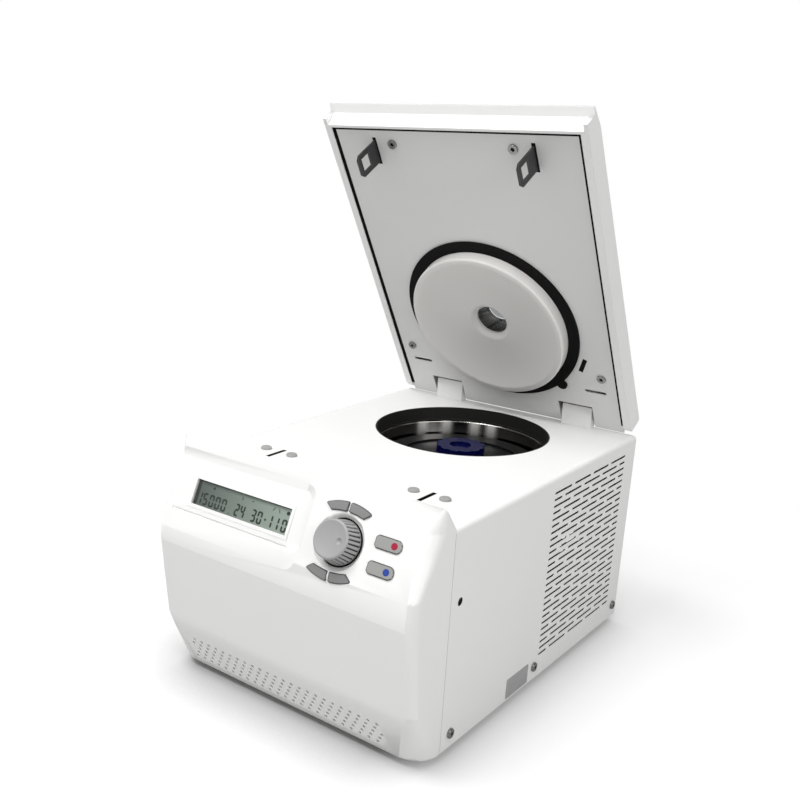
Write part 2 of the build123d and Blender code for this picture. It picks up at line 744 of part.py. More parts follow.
# Front shell: the moulding with tray, dish, key openings and intake grille
keys = {
    "arc_key_upper_left": (-1, 1),
    "arc_key_upper_right": (1, 1),
    "arc_key_lower_left": (-1, -1),
    "arc_key_lower_right": (1, -1),
}
low_key_edge = KNOB_D - ARC_OUT_TOP - KEY_FLANGE - KEY_GAP
low_flange = -((FACE_DEPTH - PANEL_DEPTH - WALL + low_key_edge * PANEL_COS) / PANEL_SIN) + FIT
key_floor = board_depth - BOARD_T
with BuildPart() as front_shell:
    for z, y, radius in shell_stations(PROFILE[1:], 0.0):
        with BuildSketch(Plane.XY.offset(z)) as outside:
            with Locations((0, (y + SEAM_Y) / 2)):
                Rectangle(CASE_W, SEAM_Y - y)
            fillet(outside.vertices().group_by(Axis.Y)[0], radius)
    loft(ruled=True)
    split(bisect_by=ROOF, keep=Keep.BOTTOM)
    with BuildSketch(TRAY):
        with BuildLine():
            lip_end = Spline(
                (TRAY_LIP_X, 0), (TRAY_EDGE, TRAY_LIP_RISE), tangents=[(1, 0), (0, 1)]
            )
            Polyline(
                lip_end @ 1,
                (TRAY_EDGE, TRAY_L + WALL),
                (tray_left, TRAY_L + WALL),
                (tray_left, -WALL),
                (TRAY_LIP_X, -WALL),
                lip_end @ 0,
            )
        make_face()
    extrude(amount=FACE_DEPTH / 2, mode=Mode.SUBTRACT)
    with BuildSketch(TRAY) as tray_mouth:
        with Locations(((tray_left + TRAY_EDGE - FIT) / 2, (TRAY_LOW + TRAY_TOP) / 2)):
            Rectangle(TRAY_EDGE - FIT - tray_left, TRAY_TOP - TRAY_LOW)
        fillet(tray_mouth.vertices().group_by(Axis.X)[-1], TRAY_R)
    with BuildSketch(TRAY.offset(-TRAY_DEPTH)) as tray_floor:
        floor_right = TRAY_EDGE - FIT - TRAY_DRAFT
        floor_top = TRAY_TOP - TRAY_DRAFT
        with Locations(((tray_left + floor_right) / 2, (TRAY_LOW + floor_top) / 2)):
            Rectangle(floor_right - tray_left, floor_top - TRAY_LOW)
        fillet(tray_floor.vertices().group_by(Axis.X)[-1], TRAY_R - TRAY_DRAFT / 2)
    loft(mode=Mode.SUBTRACT)
    with BuildSketch(TRAY.offset(-TRAY_DEPTH)):
        with Locations(((tray_left + floor_right) / 2, TRAY_LOW + GROOVE_W / 2)):
            Rectangle(floor_right - tray_left - 2 * TRAY_R, GROOVE_W)
    extrude(amount=-GROOVE_DEPTH, mode=Mode.SUBTRACT)
    with BuildSketch(TRAY.offset(-TRAY_DEPTH)):
        with Locations((WINDOW_X, WINDOW_RISE)):
            Rectangle(WINDOW_W + 2 * FRAME_W, WINDOW_H + 2 * FRAME_W)
    extrude(amount=FRAME_T)
    with BuildSketch(PANEL):
        with Locations((KNOB_X, KNOB_D)):
            Circle(DISH_R)
    with BuildSketch(PANEL.offset(-DISH_DEPTH)):
        with Locations((KNOB_X, KNOB_D)):
            Circle(DISH_FLOOR_R)
    loft(mode=Mode.SUBTRACT)
    add(shell_cavity.part, mode=Mode.SUBTRACT)
    with BuildSketch(TRAY):
        with Locations((WINDOW_X, WINDOW_RISE)):
            Rectangle(WINDOW_W, WINDOW_H)
    extrude(amount=-TRAY_DEPTH - 2 * WALL, mode=Mode.SUBTRACT)
    with BuildSketch(PANEL):
        with Locations((KNOB_X, KNOB_D)):
            Circle(BUSH_R + FIT)
    extrude(amount=-DISH_DEPTH - 2 * WALL, mode=Mode.SUBTRACT)
    with BuildSketch(PANEL.offset(2 * KEY_RISE)):
        for side, level in keys.values():
            with Locations((KNOB_X, KNOB_D)):
                add(arc_key_sketch(side, level, KEY_GAP))
        with Locations((PILL_X, PILL_UPPER_D), (PILL_X, PILL_LOWER_D)):
            add(pill_key_sketch(KEY_GAP))
    extrude(amount=-2 * KEY_RISE - key_floor, mode=Mode.SUBTRACT)
    with BuildSketch(PANEL.offset(-WALL)):
        for side in (-1, 1):
            with Locations((KNOB_X, KNOB_D)):
                add(arc_key_sketch(side, 1, KEY_GAP + KEY_FLANGE))
    extrude(amount=-key_floor + WALL, mode=Mode.SUBTRACT)
    with BuildSketch(PANEL.offset(-low_flange)):
        for side in (-1, 1):
            with Locations((KNOB_X, KNOB_D)):
                add(arc_key_sketch(side, -1, KEY_GAP + KEY_FLANGE))
    extrude(amount=-key_floor + low_flange, mode=Mode.SUBTRACT)
    with BuildSketch(GRILLE):
        for row in range(HOLE_ROWS):
            shift = (row * HOLE_SHIFT) % HOLE_PITCH
            count = int(2 * HOLE_FIELD / HOLE_PITCH)
            for column in range(count):
                x = -HOLE_FIELD + shift + column * HOLE_PITCH
                with Locations((x, HOLE_FIRST + row * HOLE_ROW_PITCH)):
                    Circle(HOLE_R)
    extrude(amount=-2 * WALL, mode=Mode.SUBTRACT)
    with BuildSketch(PANEL.offset(-WALL / 2)):
        for x in (BOARD_X0 + POST_INSET, BOARD_X1 - POST_INSET):
            for d in (BOARD_D0 + POST_INSET, BOARD_D1 - POST_INSET):
                with Locations((x, d)):
                    Circle(POST_R)
    extrude(amount=WALL / 2 - board_depth)
    tongue_x = SIDE_IN - FIT
    tongue_top = TOP_IN - FIT
    tongue_low = FOOT_H + FLANGE_H + TONGUE_T / 2 + FIT
    tongue_plane = Plane(origin=(0, SEAM_Y - TONGUE_ROOT, 0), x_dir=(-1, 0, 0), z_dir=(0, 1, 0))
    with BuildSketch(tongue_plane):
        with BuildLine():
            FilletPolyline(
                (-tongue_x + TONGUE_T / 2, tongue_low),
                (-tongue_x + TONGUE_T / 2, tongue_top - TONGUE_T / 2),
                (tongue_x - TONGUE_T / 2, tongue_top - TONGUE_T / 2),
                (tongue_x - TONGUE_T / 2, tongue_low),
                radius=WRAP_BEND_R - SHEET,
            )
            offset(amount=TONGUE_T / 2, side=Side.BOTH)
        make_face()
    extrude(amount=TONGUE_ROOT + TONGUE_L)

# Display: glass in the tray's window, with the module behind it
glass_front = TRAY_DEPTH + WALL - GLASS_T
with BuildPart() as display_glass:
    with BuildSketch(TRAY.offset(-glass_front)):
        with Locations((WINDOW_X, WINDOW_RISE)):
            Rectangle(WINDOW_W - 2 * FIT, WINDOW_H - 2 * FIT)
    extrude(amount=-GLASS_T)

with BuildPart() as display_module:
    with BuildSketch(TRAY.offset(-TRAY_DEPTH - WALL)):
        with Locations((WINDOW_X, WINDOW_RISE)):
            Rectangle(WINDOW_W + 2 * MODULE_MARGIN, WINDOW_H + 2 * MODULE_MARGIN)
    extrude(amount=-MODULE_T)

# Control board: carries the encoder and one switch under each key
arc_stems = [(KNOB_X + side * ARC_STEM_X, KNOB_D + level * ARC_STEM_Y) for side, level in keys.values()]
pill_stems = [(PILL_X, PILL_UPPER_D), (PILL_X, PILL_LOWER_D)]
with BuildPart() as control_board:
    with BuildSketch(PANEL.offset(-board_depth)):
        with BuildLine():
            Polyline(
                (BOARD_X0, BOARD_D0),
                (BOARD_X1, BOARD_D0),
                (BOARD_X1, BOARD_D1),
                (BOARD_X0, BOARD_D1),
                close=True,
            )
        make_face()
    extrude(amount=-BOARD_T)
    with BuildSketch(PANEL.offset(-board_depth)):
        for x, d in arc_stems + pill_stems:
            with Locations((x, d)):
                Rectangle(SWITCH_W, SWITCH_W)
    extrude(amount=SWITCH_H)

# Knob encoder: body on the board, with a bush through the floor of the dish
encoder_top = DISH_DEPTH + WALL
with BuildPart() as knob_encoder:
    with BuildSketch(PANEL.offset(-encoder_top)):
        with Locations((KNOB_X, KNOB_D)):
            Rectangle(ENCODER_W, ENCODER_W)
    extrude(amount=-ENCODER_H)
    with BuildSketch(PANEL.offset(-encoder_top)):
        with Locations((KNOB_X, KNOB_D)):
            Circle(BUSH_R)
    extrude(amount=WALL)
    with BuildSketch(PANEL):
        with Locations((KNOB_X, KNOB_D)):
            Circle(KNOB_SHAFT_R + RUN_FIT)
    extrude(amount=-encoder_top - ENCODER_FLOOR, mode=Mode.SUBTRACT)
    with BuildSketch(PANEL.offset(-encoder_top - ENCODER_FLOOR)):
        with Locations((KNOB_X, KNOB_D)):
            Circle(PLUNGER_R + FIT)
    extrude(amount=-ENCODER_H + 2 * ENCODER_FLOOR, mode=Mode.SUBTRACT)

plunger_low = board_depth - ENCODER_FLOOR - PUSH - TRAVEL_GAP
with BuildPart() as encoder_plunger:
    with BuildSketch(PANEL.offset(-plunger_low)):
        with Locations((KNOB_X, KNOB_D)):
            Circle(PLUNGER_R)
    extrude(amount=PLUNGER_T)

# Control knob and its shaft
knob_bottom = DISH_DEPTH - PUSH - 2 * FIT
with BuildPart() as knob_shaft:
    with BuildSketch(PANEL.offset(-plunger_low + PLUNGER_T)):
        with Locations((KNOB_X, KNOB_D)):
            Circle(KNOB_SHAFT_R)
    extrude(amount=plunger_low - PLUNGER_T - knob_bottom + KNOB_BORE_DEPTH)

with BuildPart() as control_knob:
    for height, radius in ((0.0, KNOB_BASE_R), (KNOB_H, KNOB_TOP_R)):
        with BuildSketch(PANEL.offset(height - knob_bottom)):
            with Locations((KNOB_X, KNOB_D)):
                Circle(radius - KNOB_RIB_T)
    loft()
    knob_crown = control_knob.faces().sort_by(Axis((0, 0, 0), PANEL.z_dir))[-1]
    chamfer(knob_crown.edges(), KNOB_CHAMFER)
    rib_top = KNOB_H - KNOB_CHAMFER
    rib_top_r = KNOB_TOP_R + (KNOB_BASE_R - KNOB_TOP_R) * KNOB_CHAMFER / KNOB_H
    for rib in range(KNOB_RIBS):
        angle = radians(360 / KNOB_RIBS * rib)
        outwards = PANEL.x_dir * cos(angle) + PANEL.y_dir * sin(angle)
        foot = PANEL.from_local_coords(Vector(KNOB_X, KNOB_D, -knob_bottom))
        rib_plane = Plane(origin=foot, x_dir=outwards, z_dir=outwards.cross(PANEL.z_dir))
        with BuildSketch(rib_plane):
            with BuildLine():
                Polyline(
                    (KNOB_TOP_R - 3 * KNOB_RIB_T, 0),
                    (KNOB_BASE_R, 0),
                    (rib_top_r, rib_top),
                    (KNOB_TOP_R - 3 * KNOB_RIB_T, rib_top),
                    close=True,
                )
            make_face()
        extrude(amount=KNOB_RIB_T, both=True)
    with BuildSketch(PANEL.offset(-knob_bottom)):
        with Locations((KNOB_X, KNOB_D)):
            Circle(KNOB_SHAFT_R)
    extrude(amount=KNOB_BORE_DEPTH, mode=Mode.SUBTRACT)
    with BuildSketch(PANEL.offset(KNOB_H - knob_bottom)):
        with Locations((KNOB_X + DIMPLE_X, KNOB_D)):
            Circle(DIMPLE_R)
    extrude(amount=-DIMPLE_DEPTH, mode=Mode.SUBTRACT)

# Keys: a cap through the shell, a flange behind the wall and a stem over the switch
stem_end = board_depth - SWITCH_H - PUSH - TRAVEL_GAP / 3
arc_keys = {}
for (name, (side, level)), stem in zip(keys.items(), arc_stems):
    flange_depth = WALL if level > 0 else low_flange
    with BuildPart() as arc_key:
        with BuildSketch(PANEL.offset(KEY_RISE)):
            with Locations((KNOB_X, KNOB_D)):
                add(arc_key_sketch(side, level))
        extrude(amount=-KEY_RISE - flange_depth - KEY_FLANGE_T)
        if level < 0:
            tilt_d = KNOB_D - arc_crown(ARC_IN_END, ARC_IN_TOP, ARC_IN_R)
            tilt_plane = Plane(
                origin=PANEL.from_local_coords(Vector(0, tilt_d, KEY_RISE)),
                x_dir=PANEL.x_dir,
                z_dir=PANEL.z_dir.rotate(Axis.X, LOW_KEY_TILT),
            )
            split(bisect_by=tilt_plane, keep=Keep.BOTTOM)
        with BuildSketch(PANEL.offset(-flange_depth)):
            with Locations((KNOB_X, KNOB_D)):
                add(arc_key_sketch(side, level, KEY_FLANGE))
        extrude(amount=-KEY_FLANGE_T)
        with BuildSketch(PANEL.offset(-flange_depth)):
            with Locations(stem):
                Circle(KEY_STEM_R)
        extrude(amount=flange_depth - stem_end)
    arc_keys[name] = arc_key

pill_keys = {}
for name, (x, d) in zip(("start_key", "stop_key"), pill_stems):
    with BuildPart() as pill_key:
        with BuildSketch(PANEL.offset(KEY_RISE)):
            with Locations((x, d)):
                add(pill_key_sketch())
        extrude(amount=-KEY_RISE - WALL - KEY_FLANGE_T)
        with BuildSketch(PANEL.offset(-WALL)):
            with Locations((x, d)):
                add(pill_key_sketch(KEY_FLANGE))
        extrude(amount=-KEY_FLANGE_T)
        with BuildSketch(PANEL.offset(-WALL)):
            with Locations((x, d)):
                Circle(KEY_STEM_R)
        extrude(amount=WALL - stem_end)
    pill_keys[name] = pill_key

# Bowl collar: dark lining of the opening, standing on the bowl's flange
collar_r = OPENING_R - FIT
collar_low = CASE_TOP - COLLAR_H
with BuildPart() as bowl_collar:
    with BuildSketch(BOWL_SECTION):
        with BuildLine():
            Polyline(
                (BOWL_R + FIT, collar_low),
                (collar_r, collar_low),
                (collar_r, CASE_TOP),
                (collar_r - COLLAR_T, CASE_TOP),
                (collar_r - COLLAR_T, collar_low + COLLAR_FOOT),
                (BOWL_R + FIT, collar_low + COLLAR_FOOT),
                close=True,
            )
        make_face()
    revolve(axis=BOWL_AXIS)

# Bowl ring: carries the bowl's flange under the case top
with BuildPart() as bowl_ring:
    with BuildSketch(Plane.XY.offset(collar_low)):
        with Locations((0, BOWL_Y)):
            Circle(RING_R)
            Circle(OPENING_R, mode=Mode.SUBTRACT)
    extrude(amount=TOP_IN - collar_low)

# Bowl: spun steel with a flange at the top and a hole for the drive
bowl_floor = collar_low - BOWL_DEPTH
with BuildPart() as bowl:
    with BuildSketch(BOWL_SECTION):
        with BuildLine():
            FilletPolyline(
                (BOWL_HOLE_R, bowl_floor - BOWL_T),
                (BOWL_R + BOWL_T, bowl_floor - BOWL_T),
                (BOWL_R + BOWL_T, collar_low - BOWL_T),
                (RING_R, collar_low - BOWL_T),
                radius=[BOWL_BEND_R + BOWL_T, BOWL_T],
            )
            Line((RING_R, collar_low - BOWL_T), (RING_R, collar_low))
            FilletPolyline(
                (RING_R, collar_low),
                (BOWL_R, collar_low),
                (BOWL_R, bowl_floor),
                (BOWL_HOLE_R, bowl_floor),
                radius=[2 * BOWL_T, BOWL_BEND_R],
            )
            Line((BOWL_HOLE_R, bowl_floor), (BOWL_HOLE_R, bowl_floor - BOWL_T))
        make_face()
    revolve(axis=BOWL_AXIS)

# Dampers, motor plate and motor: they stand on the base under the bowl
motor_plate_z = BASE_TOP + DAMPER_H
motor_z = motor_plate_z + MOTOR_PLATE_T
motor_top = motor_z + MOTOR_H
with BuildPart() as damper_mounts:
    with BuildSketch(Plane.XY.offset(BASE_TOP)):
        with Locations((0, BOWL_Y)):
            with GridLocations(2 * DAMPER_SPAN, 2 * DAMPER_SPAN, 2, 2):
                Circle(DAMPER_R)
    extrude(amount=DAMPER_H)

with BuildPart() as motor_plate:
    with BuildSketch(Plane.XY.offset(motor_plate_z)) as plate_outline:
        with Locations((0, BOWL_Y)):
            Rectangle(MOTOR_PLATE_W, MOTOR_PLATE_W)
            Circle(BEARING_R, mode=Mode.SUBTRACT)
        fillet(plate_outline.vertices().group_by(Axis.X)[0], DAMPER_R)
        fillet(plate_outline.vertices().group_by(Axis.X)[-1], DAMPER_R)
    extrude(amount=MOTOR_PLATE_T)

bearing_low_z = motor_z + BEARING_STEP
bearing_high_z = motor_top - BEARING_STEP - BEARING_H
motor_in_r = MOTOR_R - MOTOR_WALL
seat_r = BEARING_R + SEAT_RING
lower_seat_top = bearing_low_z + BEARING_H
with BuildPart() as motor_housing:
    with BuildSketch(BOWL_SECTION):
        with BuildLine():
            Polyline(
                (NECK_BORE_R, motor_z),
                (MOTOR_R, motor_z),
                (MOTOR_R, motor_top),
                (NECK_R, motor_top),
                (NECK_R, motor_top + NECK_H),
                (NECK_BORE_R, motor_top + NECK_H),
                (NECK_BORE_R, bearing_high_z + BEARING_H),
                (BEARING_R, bearing_high_z + BEARING_H),
                (BEARING_R, bearing_high_z),
                (seat_r, bearing_high_z),
                (seat_r, motor_top - END_WALL),
                (motor_in_r, motor_top - END_WALL),
                (motor_in_r, motor_z + END_WALL),
                (seat_r, motor_z + END_WALL),
                (seat_r, lower_seat_top),
                (BEARING_R, lower_seat_top),
                (BEARING_R, bearing_low_z),
                (NECK_BORE_R, bearing_low_z),
                close=True,
            )
        make_face()
    revolve(axis=BOWL_AXIS)

with BuildPart() as motor_bearings:
    for bearing_z in (bearing_low_z, bearing_high_z):
        with BuildSketch(Plane.XY.offset(bearing_z)):
            with Locations((0, BOWL_Y)):
                Circle(BEARING_R)
                Circle(SHAFT_R + RUN_FIT, mode=Mode.SUBTRACT)
        extrude(amount=BEARING_H)

stator_z = motor_z + (MOTOR_H - STATOR_H) / 2
with BuildPart() as motor_stator:
    with BuildSketch(Plane.XY.offset(stator_z)):
        with Locations((0, BOWL_Y)):
            Circle(motor_in_r)
            Circle(STATOR_IN_R, mode=Mode.SUBTRACT)
    extrude(amount=STATOR_H)

with BuildPart() as motor_armature:
    with BuildSketch(Plane.XY.offset(stator_z)):
        with Locations((0, BOWL_Y)):
            Circle(STATOR_IN_R - AIR_GAP)
            Circle(SHAFT_R, mode=Mode.SUBTRACT)
    extrude(amount=STATOR_H)

with BuildPart() as shaft_boot:
    boot_low = bowl_floor - BOWL_T - BOOT_DROP
    with BuildSketch(BOWL_SECTION):
        with BuildLine():
            Polyline(
                (NECK_R, boot_low),
                (BOWL_HOLE_R, boot_low),
                (BOWL_HOLE_R, bowl_floor),
                (BOOT_FLANGE_R, bowl_floor),
                (BOOT_FLANGE_R, bowl_floor + BOOT_FLANGE_T),
                (NECK_R, bowl_floor + BOOT_FLANGE_T),
                close=True,
            )
        make_face()
    revolve(axis=BOWL_AXIS)

# Rotor: fixed-angle wells under a flat lid, on the motor's shaft
rotor_top = CASE_TOP - ROTOR_DROP
rotor_low = rotor_top - ROTOR_H
lid_seat_z = rotor_top - LID_SEAT_DROP
rim_in_r = ROTOR_R - ROTOR_RIM_W
cone_r = rim_in_r - LID_SEAT_W
well_z = lid_seat_z - (cone_r - WELL_R)
grip_low = lid_seat_z + ROTOR_LID_T + TRAVEL_GAP
with BuildPart() as rotor:
    with BuildSketch(BOWL_SECTION):
        with BuildLine():
            Polyline(
                (SHAFT_R, rotor_low),
                (ROTOR_FOOT_R, rotor_low),
                (ROTOR_R, rotor_top - ROTOR_RIM_H),
                (ROTOR_R, rotor_top),
                (rim_in_r, rotor_top),
                (rim_in_r, lid_seat_z),
                (cone_r, lid_seat_z),
                (WELL_R, well_z),
                (HUB_R, well_z),
                (HUB_R, grip_low - GRIP_NECK_L - TRAVEL_GAP),
                (SHAFT_R, grip_low - GRIP_NECK_L - TRAVEL_GAP),
                close=True,
            )
        make_face()
    revolve(axis=BOWL_AXIS)
    tube_z = lid_seat_z - (cone_r - TUBE_CIRCLE_R)
    for tube in range(TUBE_COUNT):
        with Locations(Location((0, BOWL_Y, tube_z), (0, 0, 360 / TUBE_COUNT * tube))):
            with Locations(Location((TUBE_CIRCLE_R, 0, 0), (0, 180 - TUBE_ANGLE, 0))):
                Cylinder(
                    TUBE_R,
                    2 * TUBE_DEPTH,
                    mode=Mode.SUBTRACT,
                )

with BuildPart() as rotor_lid:
    with BuildSketch(Plane.XY.offset(lid_seat_z)):
        with Locations((0, BOWL_Y)):
            Circle(rim_in_r - FIT)
            Circle(GRIP_NECK_R + TRAVEL_GAP, mode=Mode.SUBTRACT)
    extrude(amount=ROTOR_LID_T)
    chamfer(rotor_lid.edges().group_by(Axis.Z)[-1].sort_by(SortBy.LENGTH)[-1], ROTOR_LID_T / 2)

shaft_top = grip_low + GRIP_H - GRIP_RECESS_DEPTH - GRIP_TOP_T
with BuildPart() as drive_shaft:
    with BuildSketch(Plane.XY.offset(bearing_low_z - SHAFT_TAIL)):
        with Locations((0, BOWL_Y)):
            Circle(SHAFT_R)
    extrude(amount=shaft_top - bearing_low_z + SHAFT_TAIL)
    with BuildSketch(Plane.XY.offset(motor_top)):
        with Locations((0, BOWL_Y)):
            Circle(SHOULDER_R)
    extrude(amount=rotor_low - motor_top)

# Rotor knob: screws down on the shaft and holds the rotor lid
with BuildPart() as rotor_knob:
    with BuildSketch(Plane.XY.offset(grip_low)):
        with Locations((0, BOWL_Y)):
            Circle(GRIP_R)
            with PolarLocations(GRIP_R + GRIP_FLUTE_R / 2, GRIP_FLUTES):
                Circle(GRIP_FLUTE_R, mode=Mode.SUBTRACT)
    extrude(amount=GRIP_H)
    with BuildSketch(Plane.XY.offset(grip_low - GRIP_NECK_L)):
        with Locations((0, BOWL_Y)):
            Circle(GRIP_NECK_R)
    extrude(amount=GRIP_NECK_L)
    with BuildSketch(Plane.XY.offset(grip_low - GRIP_NECK_L)):
        with Locations((0, BOWL_Y)):
            Circle(SHAFT_R + RUN_FIT)
    extrude(amount=shaft_top + TRAVEL_GAP - grip_low + GRIP_NECK_L, mode=Mode.SUBTRACT)
    with BuildSketch(Plane.XY.offset(grip_low + GRIP_H)):
        with Locations((0, BOWL_Y)):
            Circle(GRIP_RECESS_R)
    extrude(amount=-GRIP_RECESS_DEPTH, mode=Mode.SUBTRACT)

# Bumpers: rubber pads beside the latch slots
with BuildPart() as bumpers:
    with BuildSketch(Plane.XY.offset(CASE_TOP)):
        for side in (-1, 1):
            with Locations((side * LATCH_X, LATCH_Y + BUMPER_Y)):
                with GridLocations(2 * BUMPER_SPAN, 1, 2, 1):
                    Circle(BUMPER_R)
    extrude(amount=BUMPER_H)
    chamfer(bumpers.edges().group_by(Axis.Z)[-1], BUMPER_H / 4)

# Hinge blocks on the case top, with their pins in the lid's ears
with BuildPart() as hinge_blocks:
    for side in (-1, 1):
        with BuildSketch(HINGE_SIDE.offset(side * BLOCK_X - BLOCK_W / 2)):
            with BuildLine():
                Polyline(
                    (0, -BLOCK_TOP),
                    (BLOCK_FRONT, -BLOCK_TOP),
                    (BLOCK_FRONT, HINGE_RISE),
                    (HINGE_OVERHANG, HINGE_RISE),
                    (-BLOCK_TOP, 0),
                )
                ThreePointArc(
                    (-BLOCK_TOP, 0),
                    (-BLOCK_TOP * cos(radians(45)), -BLOCK_TOP * sin(radians(45))),
                    (0, -BLOCK_TOP),
                )
            make_face()
            Circle(PIN_R + RUN_FIT, mode=Mode.SUBTRACT)
        extrude(amount=BLOCK_W)

ear_in = NOTCH_W / 2 + TRAVEL_GAP
ear_out = ear_in + EAR_T
with BuildPart() as hinge_pins:
    for side in (-1, 1):
        with BuildSketch(HINGE_SIDE.offset(side * (BLOCK_X + ear_out))):
            Circle(PIN_R)
        extrude(amount=-side * (2 * ear_out + SPRING_L))

# Lid springs: coils round the inner ends of the hinge pins
SPRING_SECTION = Plane(origin=(0, HINGE_Y, HINGE_Z), x_dir=(1, 0, 0), z_dir=(0, -1, 0))
coil_r = PIN_R + RUN_FIT + SPRING_WIRE / 2
with BuildPart() as lid_springs:
    with BuildSketch(SPRING_SECTION):
        for side in (-1, 1):
            spring_out = side * (BLOCK_X - ear_out)
            for coil in range(SPRING_COILS):
                with Locations((spring_out - side * SPRING_WIRE * (coil + 0.5), coil_r)):
                    Circle(SPRING_WIRE / 2)
            with Locations((spring_out - side * SPRING_WIRE * SPRING_COILS / 2, coil_r)):
                Rectangle(SPRING_WIRE * (SPRING_COILS - 1), SPRING_WIRE / 2)
    revolve(axis=HINGE_AXIS)

with BuildPart() as lid_hinge_ears:
    for side in (-1, 1):
        for start in (-ear_out, ear_in):
            with BuildSketch(LID_SIDE.offset(side * BLOCK_X + start)):
                with BuildLine():
                    Polyline(
                        (0, -HINGE_OVERHANG),
                        (EAR_L, EAR_LOW),
                        (EAR_L, PLATE_HIGH),
                        (-EAR_REAR, PLATE_HIGH),
                        (-EAR_REAR, 0),
                        close=True,
                    )
                make_face()
                Circle(PIN_R, mode=Mode.SUBTRACT)
            extrude(amount=EAR_T)


def chamfer_t(s):
    """Return t on the lid's sloping front at a place s along the lid."""
    return LIP_T - (LIP_S - s) * (LIP_T + LID_TOP) / CHAMFER_L


# Lid shell: a shallow tray with a turned-in rim, hollow from below
rim_t = LID_EDGE_T - LID_RIM_H
lid_screw_spots = [
    (-UPPER_SCREW_X, LIP_S - UPPER_SCREW_FRONT),
    (UPPER_SCREW_X, LIP_S - UPPER_SCREW_FRONT),
    (-LOWER_SCREW_X, LOWER_SCREW_S),
    (LOWER_SCREW_X, LOWER_SCREW_S),
]
end_wall_s = LIP_S - END_WALL_SETBACK
lip_under_s = LIP_S - LIP_UNDER_L
cheek_s = LIP_S - CHEEK_SETBACK
cheek_t = LIP_T + (LIP_UNDER_T - LIP_T) * CHEEK_SETBACK / LIP_UNDER_L
lid_hollow = inset_profile(
    [
        (0, rim_t + LID_SKIN),
        (end_wall_s, rim_t + LID_SKIN),
        (lip_under_s, chamfer_t(lip_under_s)),
        (LIP_S - CHAMFER_L, -LID_TOP),
        (LID_REAR_CHAMFER - LID_REAR, -LID_TOP),
        (-LID_REAR, LID_REAR_CHAMFER - LID_TOP),
        (-LID_REAR, rim_t + LID_SKIN),
        (0, rim_t + LID_SKIN),
    ],
    LID_SKIN,
)
with BuildPart() as lid_shell:
    with BuildSketch(LID_SIDE):
        with BuildLine():
            Polyline(
                (-LID_REAR, LID_REAR_T),
                (-LID_REAR, LID_REAR_CHAMFER - LID_TOP),
                (LID_REAR_CHAMFER - LID_REAR, -LID_TOP),
                (LIP_S - CHAMFER_L, -LID_TOP),
                (LIP_S, LIP_T),
                (cheek_s, cheek_t),
                (cheek_s, LID_EDGE_T),
                (0, LID_EDGE_T),
                close=True,
            )
        make_face()
    extrude(amount=LID_W / 2, both=True)
    lid_corners = lid_shell.edges().filter_by(
        lambda edge: abs(LID_FACE.to_local_coords(edge.center()).Z + LID_TOP) < RUN_FIT
        and abs(abs(edge.center().X) - LID_W / 2) < RUN_FIT
    )
    fillet(lid_corners, 2 * LID_SKIN)
    with BuildSketch(LID_SIDE):
        with BuildLine():
            Polyline(
                (lip_under_s, LIP_UNDER_T),
                (end_wall_s, LID_EDGE_T),
                (end_wall_s, HINGE_RISE),
                (LIP_S, HINGE_RISE),
                (LIP_S, LIP_T),
                close=True,
            )
        make_face()
    extrude(amount=LID_W / 2 - CHEEK_W, both=True, mode=Mode.SUBTRACT)
    with BuildSketch(LID_SIDE):
        with BuildLine():
            Polyline(*lid_hollow, close=True)
        make_face()
    extrude(amount=LID_W / 2 - LID_SKIN, both=True, mode=Mode.SUBTRACT)
    with BuildSketch(LID_FACE.offset(rim_t - LID_SKIN)):
        deep_s = LIP_S - INNER_PLATE_FRONT + INNER_PLATE_GAP
        with Locations((0, (deep_s + LID_SKIN - LID_REAR) / 2)):
            Rectangle(2 * LID_RIM_IN, deep_s + LID_REAR - LID_SKIN)
    extrude(amount=HINGE_RISE, mode=Mode.SUBTRACT)
    with BuildSketch(LID_FACE.offset(PLATE_HIGH)):
        Rectangle(2 * LID_RIM_IN, 2 * INNER_PLATE_REAR)
    extrude(amount=HINGE_RISE, mode=Mode.SUBTRACT)
    with BuildSketch(LID_FACE.offset(LID_NOTCH_T)):
        with Locations((-BLOCK_X, 0), (BLOCK_X, 0)):
            Rectangle(NOTCH_W, 2 * LID_REAR + LID_SKIN)
    extrude(amount=2 * HINGE_RISE, mode=Mode.SUBTRACT)
    with BuildSketch(LID_FACE.offset(-LID_TOP)):
        with Locations((0, BOWL_S)):
            Circle(SIGHT_R)
    extrude(amount=2 * LID_SKIN, mode=Mode.SUBTRACT)
    with BuildSketch(LID_FACE.offset(-SKIN_IN)):
        with Locations(*lid_screw_spots):
            Circle(BOSS_R)
            Circle(LID_SCREW_SHANK_R, mode=Mode.SUBTRACT)
    extrude(amount=SKIN_IN + PLATE_HIGH)

# Sight glass: a window in the lid's top with a flange inside
with BuildPart() as sight_glass:
    with BuildSketch(LID_FACE.offset(-LID_TOP)):
        with Locations((0, BOWL_S)):
            Circle(SIGHT_R - RUN_FIT)
    extrude(amount=LID_SKIN)
    with BuildSketch(LID_FACE.offset(-SKIN_IN)):
        with Locations((0, BOWL_S)):
            Circle(SIGHT_R + SIGHT_FLANGE)
    extrude(amount=SIGHT_T)

